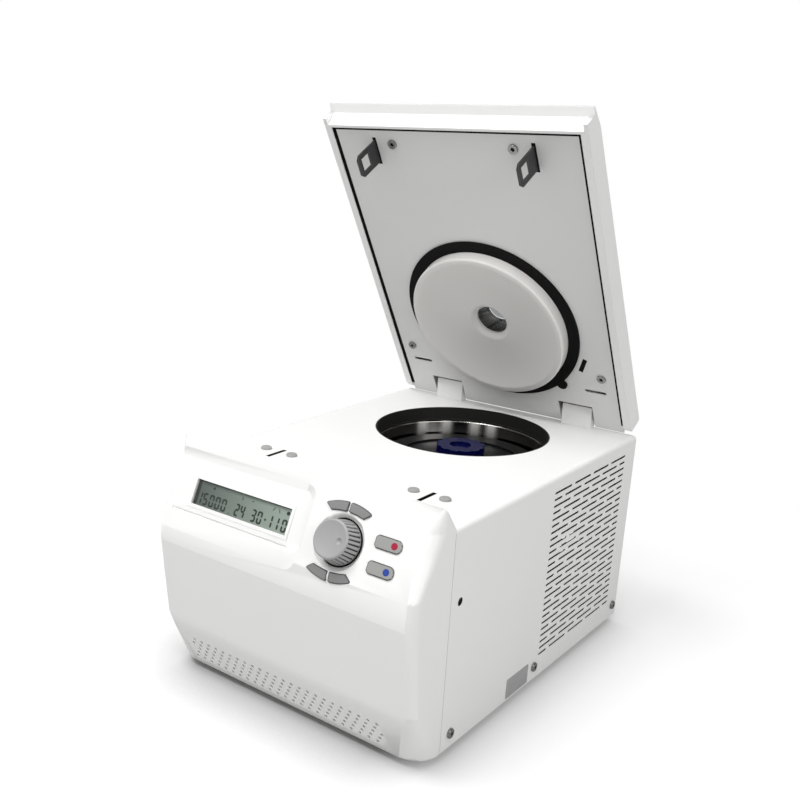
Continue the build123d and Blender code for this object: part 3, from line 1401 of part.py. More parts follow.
# Lid plate: sheet that closes the lid from below
collar_out_r = FUNNEL_IN_R + SHEET
with BuildPart() as lid_plate:
    with BuildSketch(LID_FACE.offset(PLATE_HIGH)):
        plate_front = LIP_S - INNER_PLATE_FRONT
        with Locations((0, (plate_front - INNER_PLATE_REAR) / 2)):
            Rectangle(2 * PLATE_HALF, plate_front + INNER_PLATE_REAR)
        with Locations((-BLOCK_X, 0), (BLOCK_X, 0)):
            Rectangle(NOTCH_W, 2 * NOTCH_L, mode=Mode.SUBTRACT)
        with Locations((0, BOWL_S)):
            Circle(collar_out_r + FIT, mode=Mode.SUBTRACT)
            slit_turn = (ARC_SLIT_B - ARC_SLIT_A) / 2
            with PolarLocations(ARC_SLIT_R, 1, start_angle=ARC_SLIT_A + slit_turn):
                SlotArc(
                    CenterArc((-ARC_SLIT_R, 0), ARC_SLIT_R, -slit_turn, 2 * slit_turn, mode=Mode.PRIVATE),
                    ARC_SLIT_W,
                    mode=Mode.SUBTRACT,
                )
        with Locations((-LATCH_X, LATCH_S), (LATCH_X, LATCH_S)):
            Rectangle(STRIKER_T + 2 * FIT, STRIKER_L + 2 * FIT, mode=Mode.SUBTRACT)
        with Locations((-SLIT_X, SLIT_S), (SLIT_X, SLIT_S)):
            SlotOverall(SLIT_L, SLIT_W, mode=Mode.SUBTRACT)
        with Locations(*lid_screw_spots):
            Circle(LID_SCREW_SHANK_R, mode=Mode.SUBTRACT)
    extrude(amount=INNER_PLATE_T)

# Lid screws: heads under the plate, shanks in the shell's bosses
with BuildPart() as lid_screws:
    with BuildSketch(LID_FACE.offset(PLATE_LOW)):
        with Locations(*lid_screw_spots):
            Circle(LID_SCREW_R)
    extrude(amount=LID_SCREW_H)
    with BuildSketch(LID_FACE.offset(PLATE_LOW)):
        with Locations(*lid_screw_spots):
            Circle(LID_SCREW_SHANK_R)
    extrude(amount=-LID_SCREW_L)
    with BuildSketch(LID_FACE.offset(PLATE_LOW + LID_SCREW_H)):
        with Locations(*lid_screw_spots):
            RegularPolygon(LID_SCREW_R / 2, HEX_SIDES)
    extrude(amount=-LID_SCREW_H * 2 / 3, mode=Mode.SUBTRACT)

# Lid seal: a flat ring round the plug, with a small pull tab
with BuildPart() as lid_seal:
    with BuildSketch(LID_FACE.offset(PLATE_LOW)):
        with Locations((0, BOWL_S)):
            Circle(SEAL_R)
            with Locations((SEAL_TAB_X, SEAL_TAB_Y)):
                Circle(SEAL_TAB_R)
            Circle(PLUG_R + FIT, mode=Mode.SUBTRACT)
    extrude(amount=LID_EDGE_T - PLATE_LOW)

# Lid plug: a dished disc that dips into the bowl, with a funnel behind which the glass sits
t_dir = LID_FACE.z_dir
plug_origin = LID_FACE.from_local_coords(Vector(0, BOWL_S, 0))
PLUG_SECTION = Plane(origin=plug_origin, x_dir=(1, 0, 0), z_dir=Vector(1, 0, 0).cross(t_dir))
PLUG_AXIS = Axis(plug_origin, t_dir)
with BuildPart() as lid_plug:
    plug_low = PLATE_LOW + PLUG_H
    rim_inner = PLUG_R - PLUG_EDGE_R - PLUG_RIM_W
    dish_mid = (rim_inner + FUNNEL_R) / 2
    dish_mid_t = PLATE_LOW + PLUG_CENTRE_H + (PLUG_H - PLUG_CENTRE_H) * PLUG_DISH_SHARE
    with BuildSketch(PLUG_SECTION):
        with BuildLine():
            ThreePointArc(
                (rim_inner, plug_low), (dish_mid, dish_mid_t), (FUNNEL_R, PLATE_LOW + PLUG_CENTRE_H)
            )
            Polyline(
                (FUNNEL_R, PLATE_LOW + PLUG_CENTRE_H),
                (FUNNEL_IN_R, PLATE_LOW),
                (FUNNEL_IN_R, PLATE_HIGH - SHEET),
                (collar_out_r, PLATE_HIGH - SHEET),
                (collar_out_r, PLATE_LOW),
                (PLUG_R, PLATE_LOW),
                (PLUG_R, plug_low - PLUG_EDGE_R),
            )
            RadiusArc(
                (PLUG_R, plug_low - PLUG_EDGE_R), (PLUG_R - PLUG_EDGE_R, plug_low), -PLUG_EDGE_R
            )
            Line((PLUG_R - PLUG_EDGE_R, plug_low), (rim_inner, plug_low))
        make_face()
    revolve(axis=PLUG_AXIS)

# Strikers: flat hooks that drop through the latch slots, each with a window for its bolt
with BuildPart() as strikers:
    for side in (-1, 1):
        with BuildSketch(LID_SIDE.offset(side * LATCH_X)) as striker:
            with Locations((LATCH_S, (PLATE_HIGH + STRIKER_REACH) / 2)):
                Rectangle(STRIKER_L, STRIKER_REACH - PLATE_HIGH)
            chamfer(striker.vertices().group_by(Axis.Y)[-1], STRIKER_CHAMFER)
            with Locations((LATCH_S, STRIKER_HOLE_T)):
                Rectangle(STRIKER_HOLE_L, STRIKER_HOLE_H, mode=Mode.SUBTRACT)
        extrude(amount=STRIKER_T / 2, both=True)
        with BuildSketch(LID_FACE.offset(PLATE_HIGH)):
            with Locations((side * LATCH_X, LATCH_S)):
                Rectangle(STRIKER_FOOT_W, STRIKER_L)
        extrude(amount=-STRIKER_FOOT_T)

# Latch frame: a channel hung under the case top, round both latch slots
striker_tip_z = HINGE_Z - STRIKER_REACH
bar_top = striker_tip_z - BAR_GAP
bar_low = bar_top - BAR_H
channel_plane = Plane(origin=(CHANNEL_X0, 0, 0), x_dir=(0, 1, 0), z_dir=(1, 0, 0))
coil_z = bar_low - CHANNEL_FLOOR_T - COIL_H / 2
with BuildPart() as latch_frame:
    with BuildSketch(channel_plane):
        with Locations((slot_centre_y, bar_low - CHANNEL_FLOOR_T)):
            Rectangle(
                CHANNEL_W, TOP_IN - bar_low + CHANNEL_FLOOR_T, align=(Align.CENTER, Align.MIN)
            )
        with Locations((slot_centre_y, bar_low)):
            Rectangle(
                CHANNEL_W - 2 * CHANNEL_T,
                CASE_H,
                align=(Align.CENTER, Align.MIN),
                mode=Mode.SUBTRACT,
            )
        flange_y = (CHANNEL_W + CHANNEL_FLANGE) / 2
        for side in (-1, 1):
            with Locations((slot_centre_y + side * flange_y, TOP_IN - CHANNEL_T / 2)):
                Rectangle(CHANNEL_FLANGE, CHANNEL_T)
    extrude(amount=CHANNEL_X1 - CHANNEL_X0)
    with BuildSketch(Plane.XY.offset(bar_low)):
        with Locations((LUG_X + (LUG_T + BAR_TRAVEL) / 2, LATCH_Y)):
            Rectangle(LUG_T + BAR_TRAVEL + 2 * SHEET, BAR_W + SHEET)
    extrude(amount=-CHANNEL_FLOOR_T, mode=Mode.SUBTRACT)

# Lock bar: slides right to push a bolt through each striker; its pad faces the release hole
pad_x = SIDE_IN - PAD_GAP - BAR_TRAVEL
bolt_z = HINGE_Z - STRIKER_HOLE_T
bolt_tips = [side * LATCH_X - STRIKER_T / 2 - BOLT_CLEAR for side in (-1, 1)]
bar_x0 = bolt_tips[0] - BOLT_L - BOLT_STEM
bar_plane = Plane(origin=(bar_x0, 0, 0), x_dir=(0, 1, 0), z_dir=(1, 0, 0))
with BuildPart() as lock_bar:
    with BuildSketch(bar_plane):
        with Locations((LATCH_Y, bar_low + BAR_H / 2)):
            Rectangle(BAR_W, BAR_H)
    extrude(amount=pad_x - PAD_T - bar_x0)
    for tip in bolt_tips:
        with BuildSketch(Plane(origin=(tip, 0, 0), x_dir=(0, 1, 0), z_dir=(1, 0, 0))):
            with Locations((LATCH_Y, bolt_z)):
                Rectangle(BAR_W - SHEET, BOLT_H)
        extrude(amount=-BOLT_L)
        with BuildSketch(Plane(origin=(tip - BOLT_L, 0, 0), x_dir=(0, 1, 0), z_dir=(1, 0, 0))):
            with Locations((LATCH_Y, bar_low)):
                Rectangle(
                    BAR_W - SHEET, bolt_z + BOLT_H / 2 - bar_low, align=(Align.CENTER, Align.MIN)
                )
        extrude(amount=-BOLT_STEM)
    with BuildSketch(Plane(origin=(LUG_X, 0, 0), x_dir=(0, 1, 0), z_dir=(1, 0, 0))):
        with Locations((LATCH_Y, bar_low)):
            Rectangle(BAR_W - SHEET, bar_low - coil_z + CORE_R, align=(Align.CENTER, Align.MAX))
    extrude(amount=LUG_T)
    with BuildSketch(Plane(origin=(pad_x, 0, 0), x_dir=(0, 1, 0), z_dir=(1, 0, 0))):
        with BuildLine():
            Polyline(
                (LATCH_Y + BAR_W / 2, bar_top),
                (LATCH_Y - BAR_W / 2, bar_top),
                (release_y - PAD_W / 2, release_z + PAD_W / 2),
                (release_y - PAD_W / 2, release_z - PAD_W / 2),
                (release_y + PAD_W / 2, release_z - PAD_W / 2),
                (LATCH_Y + BAR_W / 2, bar_low),
                close=True,
            )
        make_face()
    extrude(amount=-PAD_T)

# Lock solenoid under the channel, and its plunger fixed to the bar's lug
with BuildPart() as lock_solenoid:
    with BuildSketch(Plane(origin=(COIL_X, 0, 0), x_dir=(0, 1, 0), z_dir=(1, 0, 0))):
        with Locations((LATCH_Y, coil_z)):
            Rectangle(COIL_W, COIL_H)
    extrude(amount=COIL_L)
    with BuildSketch(Plane(origin=(COIL_X, 0, 0), x_dir=(0, 1, 0), z_dir=(1, 0, 0))):
        with Locations((LATCH_Y, coil_z)):
            Circle(CORE_R + RUN_FIT)
    extrude(amount=CORE_DEPTH + TRAVEL_GAP, mode=Mode.SUBTRACT)

with BuildPart() as solenoid_plunger:
    with BuildSketch(Plane(origin=(LUG_X + LUG_T, 0, 0), x_dir=(0, 1, 0), z_dir=(1, 0, 0))):
        with Locations((LATCH_Y, coil_z)):
            Circle(CORE_R)
    extrude(amount=COIL_X + CORE_DEPTH - BAR_TRAVEL - LUG_X - LUG_T)

# Boards on the base: each stands on four standoffs
board_z = BASE_TOP + STANDOFF_H
with BuildPart() as power_board:
    with Locations((-PCB_X, PCB_Y, board_z)):
        Box(PCB_W, PCB_L, BOARD_T, align=(Align.CENTER, Align.CENTER, Align.MIN))
    for x, y, length, width, height in POWER_PARTS:
        with Locations((-PCB_X + x, PCB_Y + y, board_z + BOARD_T)):
            Box(length, width, height, align=(Align.CENTER, Align.CENTER, Align.MIN))

with BuildPart() as drive_board:
    with Locations((PCB_X, PCB_Y, board_z)):
        Box(PCB_W, PCB_L, BOARD_T, align=(Align.CENTER, Align.CENTER, Align.MIN))
    for x, y, length, width, height in DRIVE_PARTS:
        with Locations((PCB_X + x, PCB_Y + y, board_z + BOARD_T)):
            Box(length, width, height, align=(Align.CENTER, Align.CENTER, Align.MIN))

# Rear panel: sheet between the wrap's sides, with openings for fan, inlet and switch
rear_out = BACK_Y - PANEL_INSET
rear_in = rear_out - SHEET
rear_plane = Plane(origin=(0, rear_out, 0), x_dir=(1, 0, 0), z_dir=(0, -1, 0))
inlet_body_w = INLET_W + 2 * INLET_WALL
inlet_body_h = INLET_H + 2 * INLET_WALL
rocker_sweep = hypot(ROCKER_H / 2, ROCKER_PIN_R * 2) + TRAVEL_GAP
bezel_w = ROCKER_W + 2 * TRAVEL_GAP + 2 * BEZEL_WALL
bezel_h = 2 * rocker_sweep + 2 * BEZEL_WALL
with BuildPart() as rear_panel:
    with BuildSketch(rear_plane) as rear_outline:
        with Locations((0, BASE_TOP)):
            Rectangle(2 * SIDE_IN, TOP_IN - BASE_TOP, align=(Align.CENTER, Align.MIN))
        fillet(rear_outline.vertices().group_by(Axis.Y)[-1], WRAP_BEND_R - SHEET)
        for side in (-1, 1):
            with Locations((side * (SIDE_IN - SHEET / 2), BASE_TOP)):
                Rectangle(SHEET, FLANGE_H, align=(Align.CENTER, Align.MIN), mode=Mode.SUBTRACT)
        with Locations((FAN_X, FAN_Z)):
            Circle(FAN_R, mode=Mode.SUBTRACT)
        with Locations((INLET_X, INLET_Z)):
            Rectangle(inlet_body_w + FIT, inlet_body_h + FIT, mode=Mode.SUBTRACT)
        with Locations((SWITCH_X, SWITCH_Z)):
            Rectangle(bezel_w + FIT, bezel_h + FIT, mode=Mode.SUBTRACT)
    extrude(amount=SHEET)

# Mains inlet: a socket body with three flat pins
with BuildPart() as mains_inlet:
    with BuildSketch(rear_plane):
        with Locations((INLET_X, INLET_Z)):
            Rectangle(inlet_body_w, inlet_body_h)
    extrude(amount=INLET_DEPTH - INLET_RIM_T + INLET_FLOOR)
    with BuildSketch(rear_plane):
        with Locations((INLET_X, INLET_Z)):
            Rectangle(inlet_body_w + 2 * INLET_RIM, inlet_body_h + 2 * INLET_RIM)
    extrude(amount=-INLET_RIM_T)
    with BuildSketch(rear_plane.offset(-INLET_RIM_T)):
        with Locations((INLET_X, INLET_Z)):
            Rectangle(INLET_W, INLET_H)
    extrude(amount=INLET_DEPTH, mode=Mode.SUBTRACT)

with BuildPart() as inlet_pins:
    with BuildSketch(rear_plane.offset(INLET_DEPTH - INLET_RIM_T)):
        with Locations(
            (INLET_X - INLET_PIN_X, INLET_Z - INLET_PIN_Z),
            (INLET_X, INLET_Z + INLET_PIN_Z),
            (INLET_X + INLET_PIN_X, INLET_Z - INLET_PIN_Z),
        ):
            Rectangle(INLET_PIN_T, INLET_PIN_W)
    extrude(amount=-INLET_PIN_L)

# Mains switch: a rocker on pins in its bezel, with its lower half pressed
rocker_y = rear_out - ROCKER_PIN_R
with BuildPart() as switch_bezel:
    with BuildSketch(rear_plane):
        with Locations((SWITCH_X, SWITCH_Z)):
            Rectangle(bezel_w, bezel_h)
    extrude(amount=BEZEL_DEPTH)
    with BuildSketch(rear_plane):
        with Locations((SWITCH_X, SWITCH_Z)):
            Rectangle(bezel_w + 2 * BEZEL_RIM, bezel_h + 2 * BEZEL_RIM)
    extrude(amount=-BEZEL_WALL)
    with BuildSketch(rear_plane.offset(-BEZEL_WALL)):
        with Locations((SWITCH_X, SWITCH_Z)):
            Rectangle(bezel_w - 2 * BEZEL_WALL, bezel_h - 2 * BEZEL_WALL)
    extrude(amount=BEZEL_DEPTH, mode=Mode.SUBTRACT)
    pin_plane = Plane(origin=(SWITCH_X, rocker_y, SWITCH_Z), x_dir=(0, 1, 0), z_dir=(1, 0, 0))
    with BuildSketch(pin_plane):
        Circle(ROCKER_PIN_R + RUN_FIT)
    extrude(amount=ROCKER_W / 2 + BEZEL_WALL, both=True, mode=Mode.SUBTRACT)

rocker_tilt = radians(ROCKER_TILT)
rocker_plane = Plane(
    origin=pin_plane.origin, x_dir=(0, cos(rocker_tilt), sin(rocker_tilt)), z_dir=(1, 0, 0)
)
with BuildPart() as switch_rocker:
    with BuildSketch(rocker_plane):
        with BuildLine():
            Polyline(
                (-BEZEL_DEPTH / 3, -ROCKER_H / 3),
                (2 * ROCKER_PIN_R, -ROCKER_H / 2),
                (3 * ROCKER_PIN_R, 0),
                (2 * ROCKER_PIN_R, ROCKER_H / 2),
                (-BEZEL_DEPTH / 3, ROCKER_H / 3),
                close=True,
            )
        make_face()
    extrude(amount=ROCKER_W / 2, both=True)
    with BuildSketch(pin_plane):
        Circle(ROCKER_PIN_R)
    extrude(amount=ROCKER_W / 2 + BEZEL_WALL / 2, both=True)

# Fan: frame behind the rear panel, rotor on its pin, guard outside
fan_front = rear_in - FAN_T
fan_plane = Plane(origin=(FAN_X, fan_front, FAN_Z), x_dir=(-1, 0, 0), z_dir=(0, 1, 0))
with BuildPart() as fan_frame:
    with BuildSketch(fan_plane) as fan_outline:
        Rectangle(FAN_W, FAN_W)
        fillet(fan_outline.vertices(), 2 * SHEET)
        Circle(FAN_R, mode=Mode.SUBTRACT)
    extrude(amount=FAN_T)
    with BuildSketch(fan_plane):
        Circle(FAN_HUB_R)
        with PolarLocations(FAN_R / 2, 3, start_angle=FAN_STRUT_TURN):
            Rectangle(FAN_R + SHEET, FAN_ARM_W)
    extrude(amount=FAN_ARM_T)
    with BuildSketch(fan_plane):
        Circle(FAN_PIN_R)
    extrude(amount=FAN_T - 2 * SHEET)

fan_hub_l = FAN_T - FAN_ARM_T - 2 * FAN_GAP - SHEET
with BuildPart() as fan_rotor:
    with BuildSketch(fan_plane.offset(FAN_ARM_T + FAN_GAP)):
        Circle(FAN_HUB_R)
    extrude(amount=fan_hub_l)
    blade_l = FAN_R - 2 * FAN_GAP - FAN_HUB_R / 2
    blade_mid = fan_front + FAN_ARM_T + FAN_GAP + fan_hub_l / 2
    for blade in range(FAN_BLADES):
        turn = 360 / FAN_BLADES * blade
        with Locations(Location((FAN_X, blade_mid, FAN_Z), (0, turn, 0))):
            with Locations(Location((FAN_HUB_R / 2 + blade_l / 2, 0, 0), (BLADE_ANGLE, 0, 0))):
                Box(blade_l, fan_hub_l, BLADE_T)
    with BuildSketch(fan_plane.offset(FAN_ARM_T)):
        Circle(FAN_PIN_R + RUN_FIT)
    extrude(amount=FAN_T - 2 * SHEET - FAN_ARM_T + TRAVEL_GAP, mode=Mode.SUBTRACT)

with BuildPart() as fan_guard:
    guard_plane = Plane(origin=(FAN_X, rear_out, FAN_Z), x_dir=(-1, 0, 0), z_dir=(0, 1, 0))
    with BuildSketch(guard_plane):
        for ring in range(1, GUARD_RINGS + 1):
            ring_r = (FAN_R + GUARD_WIRE) * ring / GUARD_RINGS
            with BuildSketch(guard_plane, mode=Mode.PRIVATE) as wire_ring:
                Circle(ring_r)
                Circle(ring_r - GUARD_WIRE, mode=Mode.SUBTRACT)
            add(wire_ring.sketch_local)
        Rectangle(2 * FAN_R + GUARD_WIRE, GUARD_WIRE)
        Rectangle(GUARD_WIRE, 2 * FAN_R + GUARD_WIRE)
    extrude(amount=GUARD_WIRE)

pieces = {
    "front_shell": front_shell,
    "case_wrap": case_wrap,
    "base_plate": base_plate,
    "rear_panel": rear_panel,
    "feet": feet,
    "case_screws": case_screws,
    "rating_plate": rating_plate,
    "side_stiffeners": side_stiffeners,
    "display_glass": display_glass,
    "display_module": display_module,
    "control_board": control_board,
    "knob_encoder": knob_encoder,
    "encoder_plunger": encoder_plunger,
    "knob_shaft": knob_shaft,
    "control_knob": control_knob,
    **arc_keys,
    **pill_keys,
    "bowl_collar": bowl_collar,
    "bowl_ring": bowl_ring,
    "bowl": bowl,
    "bumpers": bumpers,
    "hinge_blocks": hinge_blocks,
    "hinge_pins": hinge_pins,
    "lid_springs": lid_springs,
    "lid_hinge_ears": lid_hinge_ears,
    "lid_shell": lid_shell,
    "lid_plate": lid_plate,
    "lid_screws": lid_screws,
    "lid_seal": lid_seal,
    "lid_plug": lid_plug,
    "sight_glass": sight_glass,
    "strikers": strikers,
    "latch_frame": latch_frame,
    "lock_bar": lock_bar,
    "lock_solenoid": lock_solenoid,
    "solenoid_plunger": solenoid_plunger,
    "rotor": rotor,
    "rotor_lid": rotor_lid,
    "rotor_knob": rotor_knob,
    "drive_shaft": drive_shaft,
    "motor_armature": motor_armature,
    "motor_stator": motor_stator,
    "motor_bearings": motor_bearings,
    "motor_housing": motor_housing,
    "motor_plate": motor_plate,
    "damper_mounts": damper_mounts,
    "shaft_boot": shaft_boot,
    "power_board": power_board,
    "drive_board": drive_board,
    "mains_inlet": mains_inlet,
    "inlet_pins": inlet_pins,
    "switch_bezel": switch_bezel,
    "switch_rocker": switch_rocker,
    "fan_frame": fan_frame,
    "fan_rotor": fan_rotor,
    "fan_guard": fan_guard,
}

os.makedirs("parts", exist_ok=True)
for name, piece in pieces.items():
    placed = piece.part.moved(Location((0, -OUTLINE_Y, 0)))
    placed.label = name
    export_step(placed, f"parts/{name}.step")
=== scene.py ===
# %% [markdown]
# # A bench microcentrifuge with its lid open
#
# The real machine is a white steel case with a moulded front, a steel bowl with a rotor in it, and a
# heavy lid on two hinges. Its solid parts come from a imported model, the frame, which also says what
# moves with what. This lesson gives those parts their finishes, and models in Blender what a solid
# can't show well: smooth skins, a ribbed knob, a display with figures, and coloured dots on two keys.
# Everything is in metres, with X to the right, Y to the back and Z up. Small sizes are named in
# millimetres and multiplied by MM.

# %% Load the frame
import json
from math import atan2, cos, pi, radians, sin

import bpy
from mathutils import Matrix, Quaternion, Vector

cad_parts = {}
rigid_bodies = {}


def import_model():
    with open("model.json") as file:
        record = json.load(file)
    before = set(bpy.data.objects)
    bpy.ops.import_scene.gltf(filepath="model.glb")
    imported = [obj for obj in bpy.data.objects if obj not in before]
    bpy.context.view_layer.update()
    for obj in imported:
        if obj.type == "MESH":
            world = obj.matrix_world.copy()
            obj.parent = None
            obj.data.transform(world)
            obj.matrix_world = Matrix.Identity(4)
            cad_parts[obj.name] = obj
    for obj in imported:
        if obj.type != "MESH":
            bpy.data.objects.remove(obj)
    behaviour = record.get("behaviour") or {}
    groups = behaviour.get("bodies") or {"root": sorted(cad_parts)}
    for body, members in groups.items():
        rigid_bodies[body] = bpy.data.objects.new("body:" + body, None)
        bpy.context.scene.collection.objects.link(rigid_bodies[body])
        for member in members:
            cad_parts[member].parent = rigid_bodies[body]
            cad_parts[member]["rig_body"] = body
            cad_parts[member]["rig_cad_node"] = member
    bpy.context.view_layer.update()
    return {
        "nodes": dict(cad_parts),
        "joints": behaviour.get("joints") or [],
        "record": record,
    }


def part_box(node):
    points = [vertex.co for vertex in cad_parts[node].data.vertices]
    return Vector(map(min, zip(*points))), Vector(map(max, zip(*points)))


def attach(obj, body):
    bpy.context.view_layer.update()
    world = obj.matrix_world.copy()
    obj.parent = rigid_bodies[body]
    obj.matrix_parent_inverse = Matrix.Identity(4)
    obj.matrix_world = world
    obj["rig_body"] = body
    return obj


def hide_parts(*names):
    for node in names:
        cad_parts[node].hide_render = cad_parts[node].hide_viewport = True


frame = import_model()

scene = bpy.context.scene
nodes = frame["nodes"]

# %% [markdown]
# ## Small tools
#
# Blender's operators act on everything that is selected. So each step first clears the selection and
# then picks what it works on: whole objects by name, or faces by a rule about where they lie. The
# last two tools make a flat slab and join several pieces into one.

# %% Selection and modelling helpers
MM = 0.001


def object_mode():
    bpy.ops.object.mode_set(mode="OBJECT")


def deselect():
    if bpy.context.object and bpy.context.object.mode != "OBJECT":
        object_mode()
    bpy.ops.object.select_all(action="DESELECT")


def pick(*objects):
    deselect()
    for item in objects:
        item.select_set(True)
    bpy.context.view_layer.objects.active = objects[-1]


def edit_all(item):
    pick(item)
    bpy.ops.object.mode_set(mode="EDIT")
    bpy.ops.mesh.select_all(action="SELECT")


def edit_faces(item, rule):
    pick(item)
    bpy.ops.object.mode_set(mode="EDIT")
    bpy.ops.mesh.select_mode(type="FACE")
    bpy.ops.mesh.select_all(action="DESELECT")
    object_mode()
    for face in item.data.polygons:
        face.select = rule(face)
    bpy.ops.object.mode_set(mode="EDIT")


def settle(item):
    pick(item)
    bpy.ops.object.transform_apply(location=True, rotation=True, scale=True)


def apply_modifiers(item):
    pick(item)
    for modifier in list(item.modifiers):
        bpy.ops.object.modifier_apply(modifier=modifier.name)


def face_out(item):
    edit_all(item)
    bpy.ops.mesh.remove_doubles(threshold=0.000002)
    bpy.ops.mesh.normals_make_consistent(inside=False)
    object_mode()


def smooth(item, degrees=30):
    pick(item)
    bpy.ops.object.shade_smooth_by_angle(angle=radians(degrees))


def newest(name):
    item = bpy.context.object
    item.name = name
    item.data.name = name
    return item


def slab(name, width, length, height, degrees=0):
    deselect()
    bpy.ops.mesh.primitive_cube_add(size=MM)
    made = newest(name)
    made.scale = (width, length, height)
    made.rotation_euler.z = radians(degrees)
    settle(made)
    return made


def join_as(name, pieces):
    pick(*pieces)
    bpy.ops.object.join()
    joined = newest(name)
    settle(joined)
    return joined


print("helpers ready")

# %% [markdown]
# ## The camera
#
# A product picture is taken from a little above and from the machine's right. Here the camera's place
# and lens are worked out so that the straight edges of the case run as they do in the photograph.
# The camera looks back along a direction given by an azimuth and an elevation, with a small roll.

# %% Camera
CAMERA_PLACE = Vector((0.5579, -0.86712, 0.5491))
CAMERA_AZIMUTH = 39.33
CAMERA_ELEVATION = 16.83
CAMERA_ROLL = 1.71
SENSOR_W = 36
FOCAL_LENGTH = 45.59
SHIFT_X = 0.1208
SHIFT_Y = 0.0433
NEAR_CLIP = 0.01


def outwards(azimuth, elevation):
    across = cos(radians(elevation))
    return Vector((
        sin(radians(azimuth)) * across,
        -cos(radians(azimuth)) * across,
        sin(radians(elevation)),
    ))


deselect()
bpy.ops.object.camera_add(location=CAMERA_PLACE)
camera = bpy.context.object
camera.name = "camera"
camera.rotation_mode = "QUATERNION"
level_view = (-outwards(CAMERA_AZIMUTH, CAMERA_ELEVATION)).to_track_quat("-Z", "Y")
camera.rotation_quaternion = level_view @ Quaternion((0, 0, 1), radians(CAMERA_ROLL))
camera.data.sensor_width = SENSOR_W
camera.data.lens = FOCAL_LENGTH
camera.data.shift_x = SHIFT_X
camera.data.shift_y = SHIFT_Y
camera.data.clip_start = NEAR_CLIP
scene.camera = camera
scene.view_settings.view_transform = "Standard"
print("camera at", [round(v, 3) for v in camera.location])

# %% [markdown]
# ## Shader tools
#
# A material is a tree of nodes. One helper feeds a node's inputs, each with a plain value or with the
# output of another node, and one adds a node, sets its options and feeds it.

# %% Shader helpers
WHITE = (1, 1, 1, 1)


def feed(tree, node, values):
    for title, value in values.items():
        if isinstance(value, bpy.types.NodeSocket):
            tree.links.new(value, node.inputs[title])
        else:
            node.inputs[title].default_value = value


def add_node(tree, kind, values=None, **options):
    node = tree.nodes.new("ShaderNode" + kind)
    for title, value in options.items():
        setattr(node, title, value)
    feed(tree, node, values or {})
    return node


def object_place(tree):
    return add_node(tree, "TexCoord").outputs["Object"]


def new_material(name):
    made = bpy.data.materials.new(name)
    made.use_nodes = True
    return made, made.node_tree, made.node_tree.nodes["Principled BSDF"]


print("shader helpers ready")

# %% [markdown]
# ## Floor and light
#
# The studio is a white room. The floor is a pale sheet that still takes the machine's shadow, and the
# world is white wherever the camera or a sheet of glass looks at it. The light itself is softer than
# that: an even world light, dimmer in mirrors so that steel and rubber keep their depth, three large
# lamps, and three small ones that put sparks on steel. Close to the machine's foot an ambient occlusion
# mask dims the floor's glow, a painted contact shadow, which is weaker on the right-hand side, where a
# painted glow stands for the light of the lamps.

# %% Floor
FLOOR_SIZE = 12
FLOOR_GREY = (0.5, 0.5, 0.5, 1)
SHADOW_REACH = 0.09
SHADOW_SAMPLES = 8
SHADOW_FULL = 0.45
SHADOW_NONE = 0.95
GLOW = 0.5
LIT_SIDE_FROM_X = 0.1
LIT_SIDE_TO_X = 0.2
LIT_SIDE_GLOW = 0.4
FADE_FROM = 0.42
FADE_TO = 0.95

deselect()
bpy.ops.mesh.primitive_plane_add(size=FLOOR_SIZE, location=(0, 0, 0))
floor = newest("floor")
floor_finish, tree, shader = new_material("floor_paper")
feed(tree, shader, {"Base Color": FLOOR_GREY, "Roughness": 0.9, "Specular IOR Level": 0.1})
place = object_place(tree)
split = add_node(tree, "SeparateXYZ", {0: place})
# A painted glow on the right-hand side, where the lamps reach, weakens the painted contact shadow there.
painted_lit_side_glow = add_node(tree, "MapRange", {
    "Value": split.outputs["X"],
    "From Min": LIT_SIDE_FROM_X,
    "From Max": LIT_SIDE_TO_X,
    "To Max": LIT_SIDE_GLOW,
})
# Ambient occlusion dims the floor's glow near the machine: a painted contact shadow.
close_by = add_node(tree, "AmbientOcclusion", {"Distance": SHADOW_REACH}, samples=SHADOW_SAMPLES)
painted_contact_shadow = add_node(tree, "MapRange", {
    "Value": close_by.outputs["AO"],
    "From Min": SHADOW_FULL,
    "From Max": SHADOW_NONE,
    "To Min": painted_lit_side_glow.outputs[0],
    "To Max": GLOW,
})
glow = add_node(tree, "Emission", {"Strength": painted_contact_shadow.outputs[0]})
both = add_node(tree, "AddShader", {0: shader.outputs[0], 1: glow.outputs[0]})
reach = add_node(tree, "VectorMath", {0: place}, operation="LENGTH")
fade = add_node(tree, "MapRange", {
    "Value": reach.outputs["Value"],
    "From Min": FADE_FROM,
    "From Max": FADE_TO,
}, interpolation_type="SMOOTHSTEP")
far_white = add_node(tree, "Emission")
spread = add_node(tree, "MixShader", {0: fade.outputs[0], 1: both.outputs[0], 2: far_white.outputs[0]})
path = add_node(tree, "LightPath")
seen = add_node(tree, "MixShader", {
    0: path.outputs["Is Camera Ray"],
    1: shader.outputs[0],
    2: spread.outputs[0],
})
feed(tree, tree.nodes["Material Output"], {"Surface": seen.outputs[0]})
floor.data.materials.append(floor_finish)
print("floor", tuple(floor.dimensions))

# %% World and lamps
SOFT_LIGHT = 0.5
MIRRORED_LIGHT = 0.25
SEEN_LIGHT = 1.0
LAMP_AIM = Vector((0, 0, 0.25))
LAMP_DISTANCE = 2.6
LARGE_LAMP = 1.3
SMALL_LAMP = 0.3
SPARK_AZIMUTHS = (-8, 16, 30)
SPARK_ELEVATION = 56
SPARK_WATTS = 3

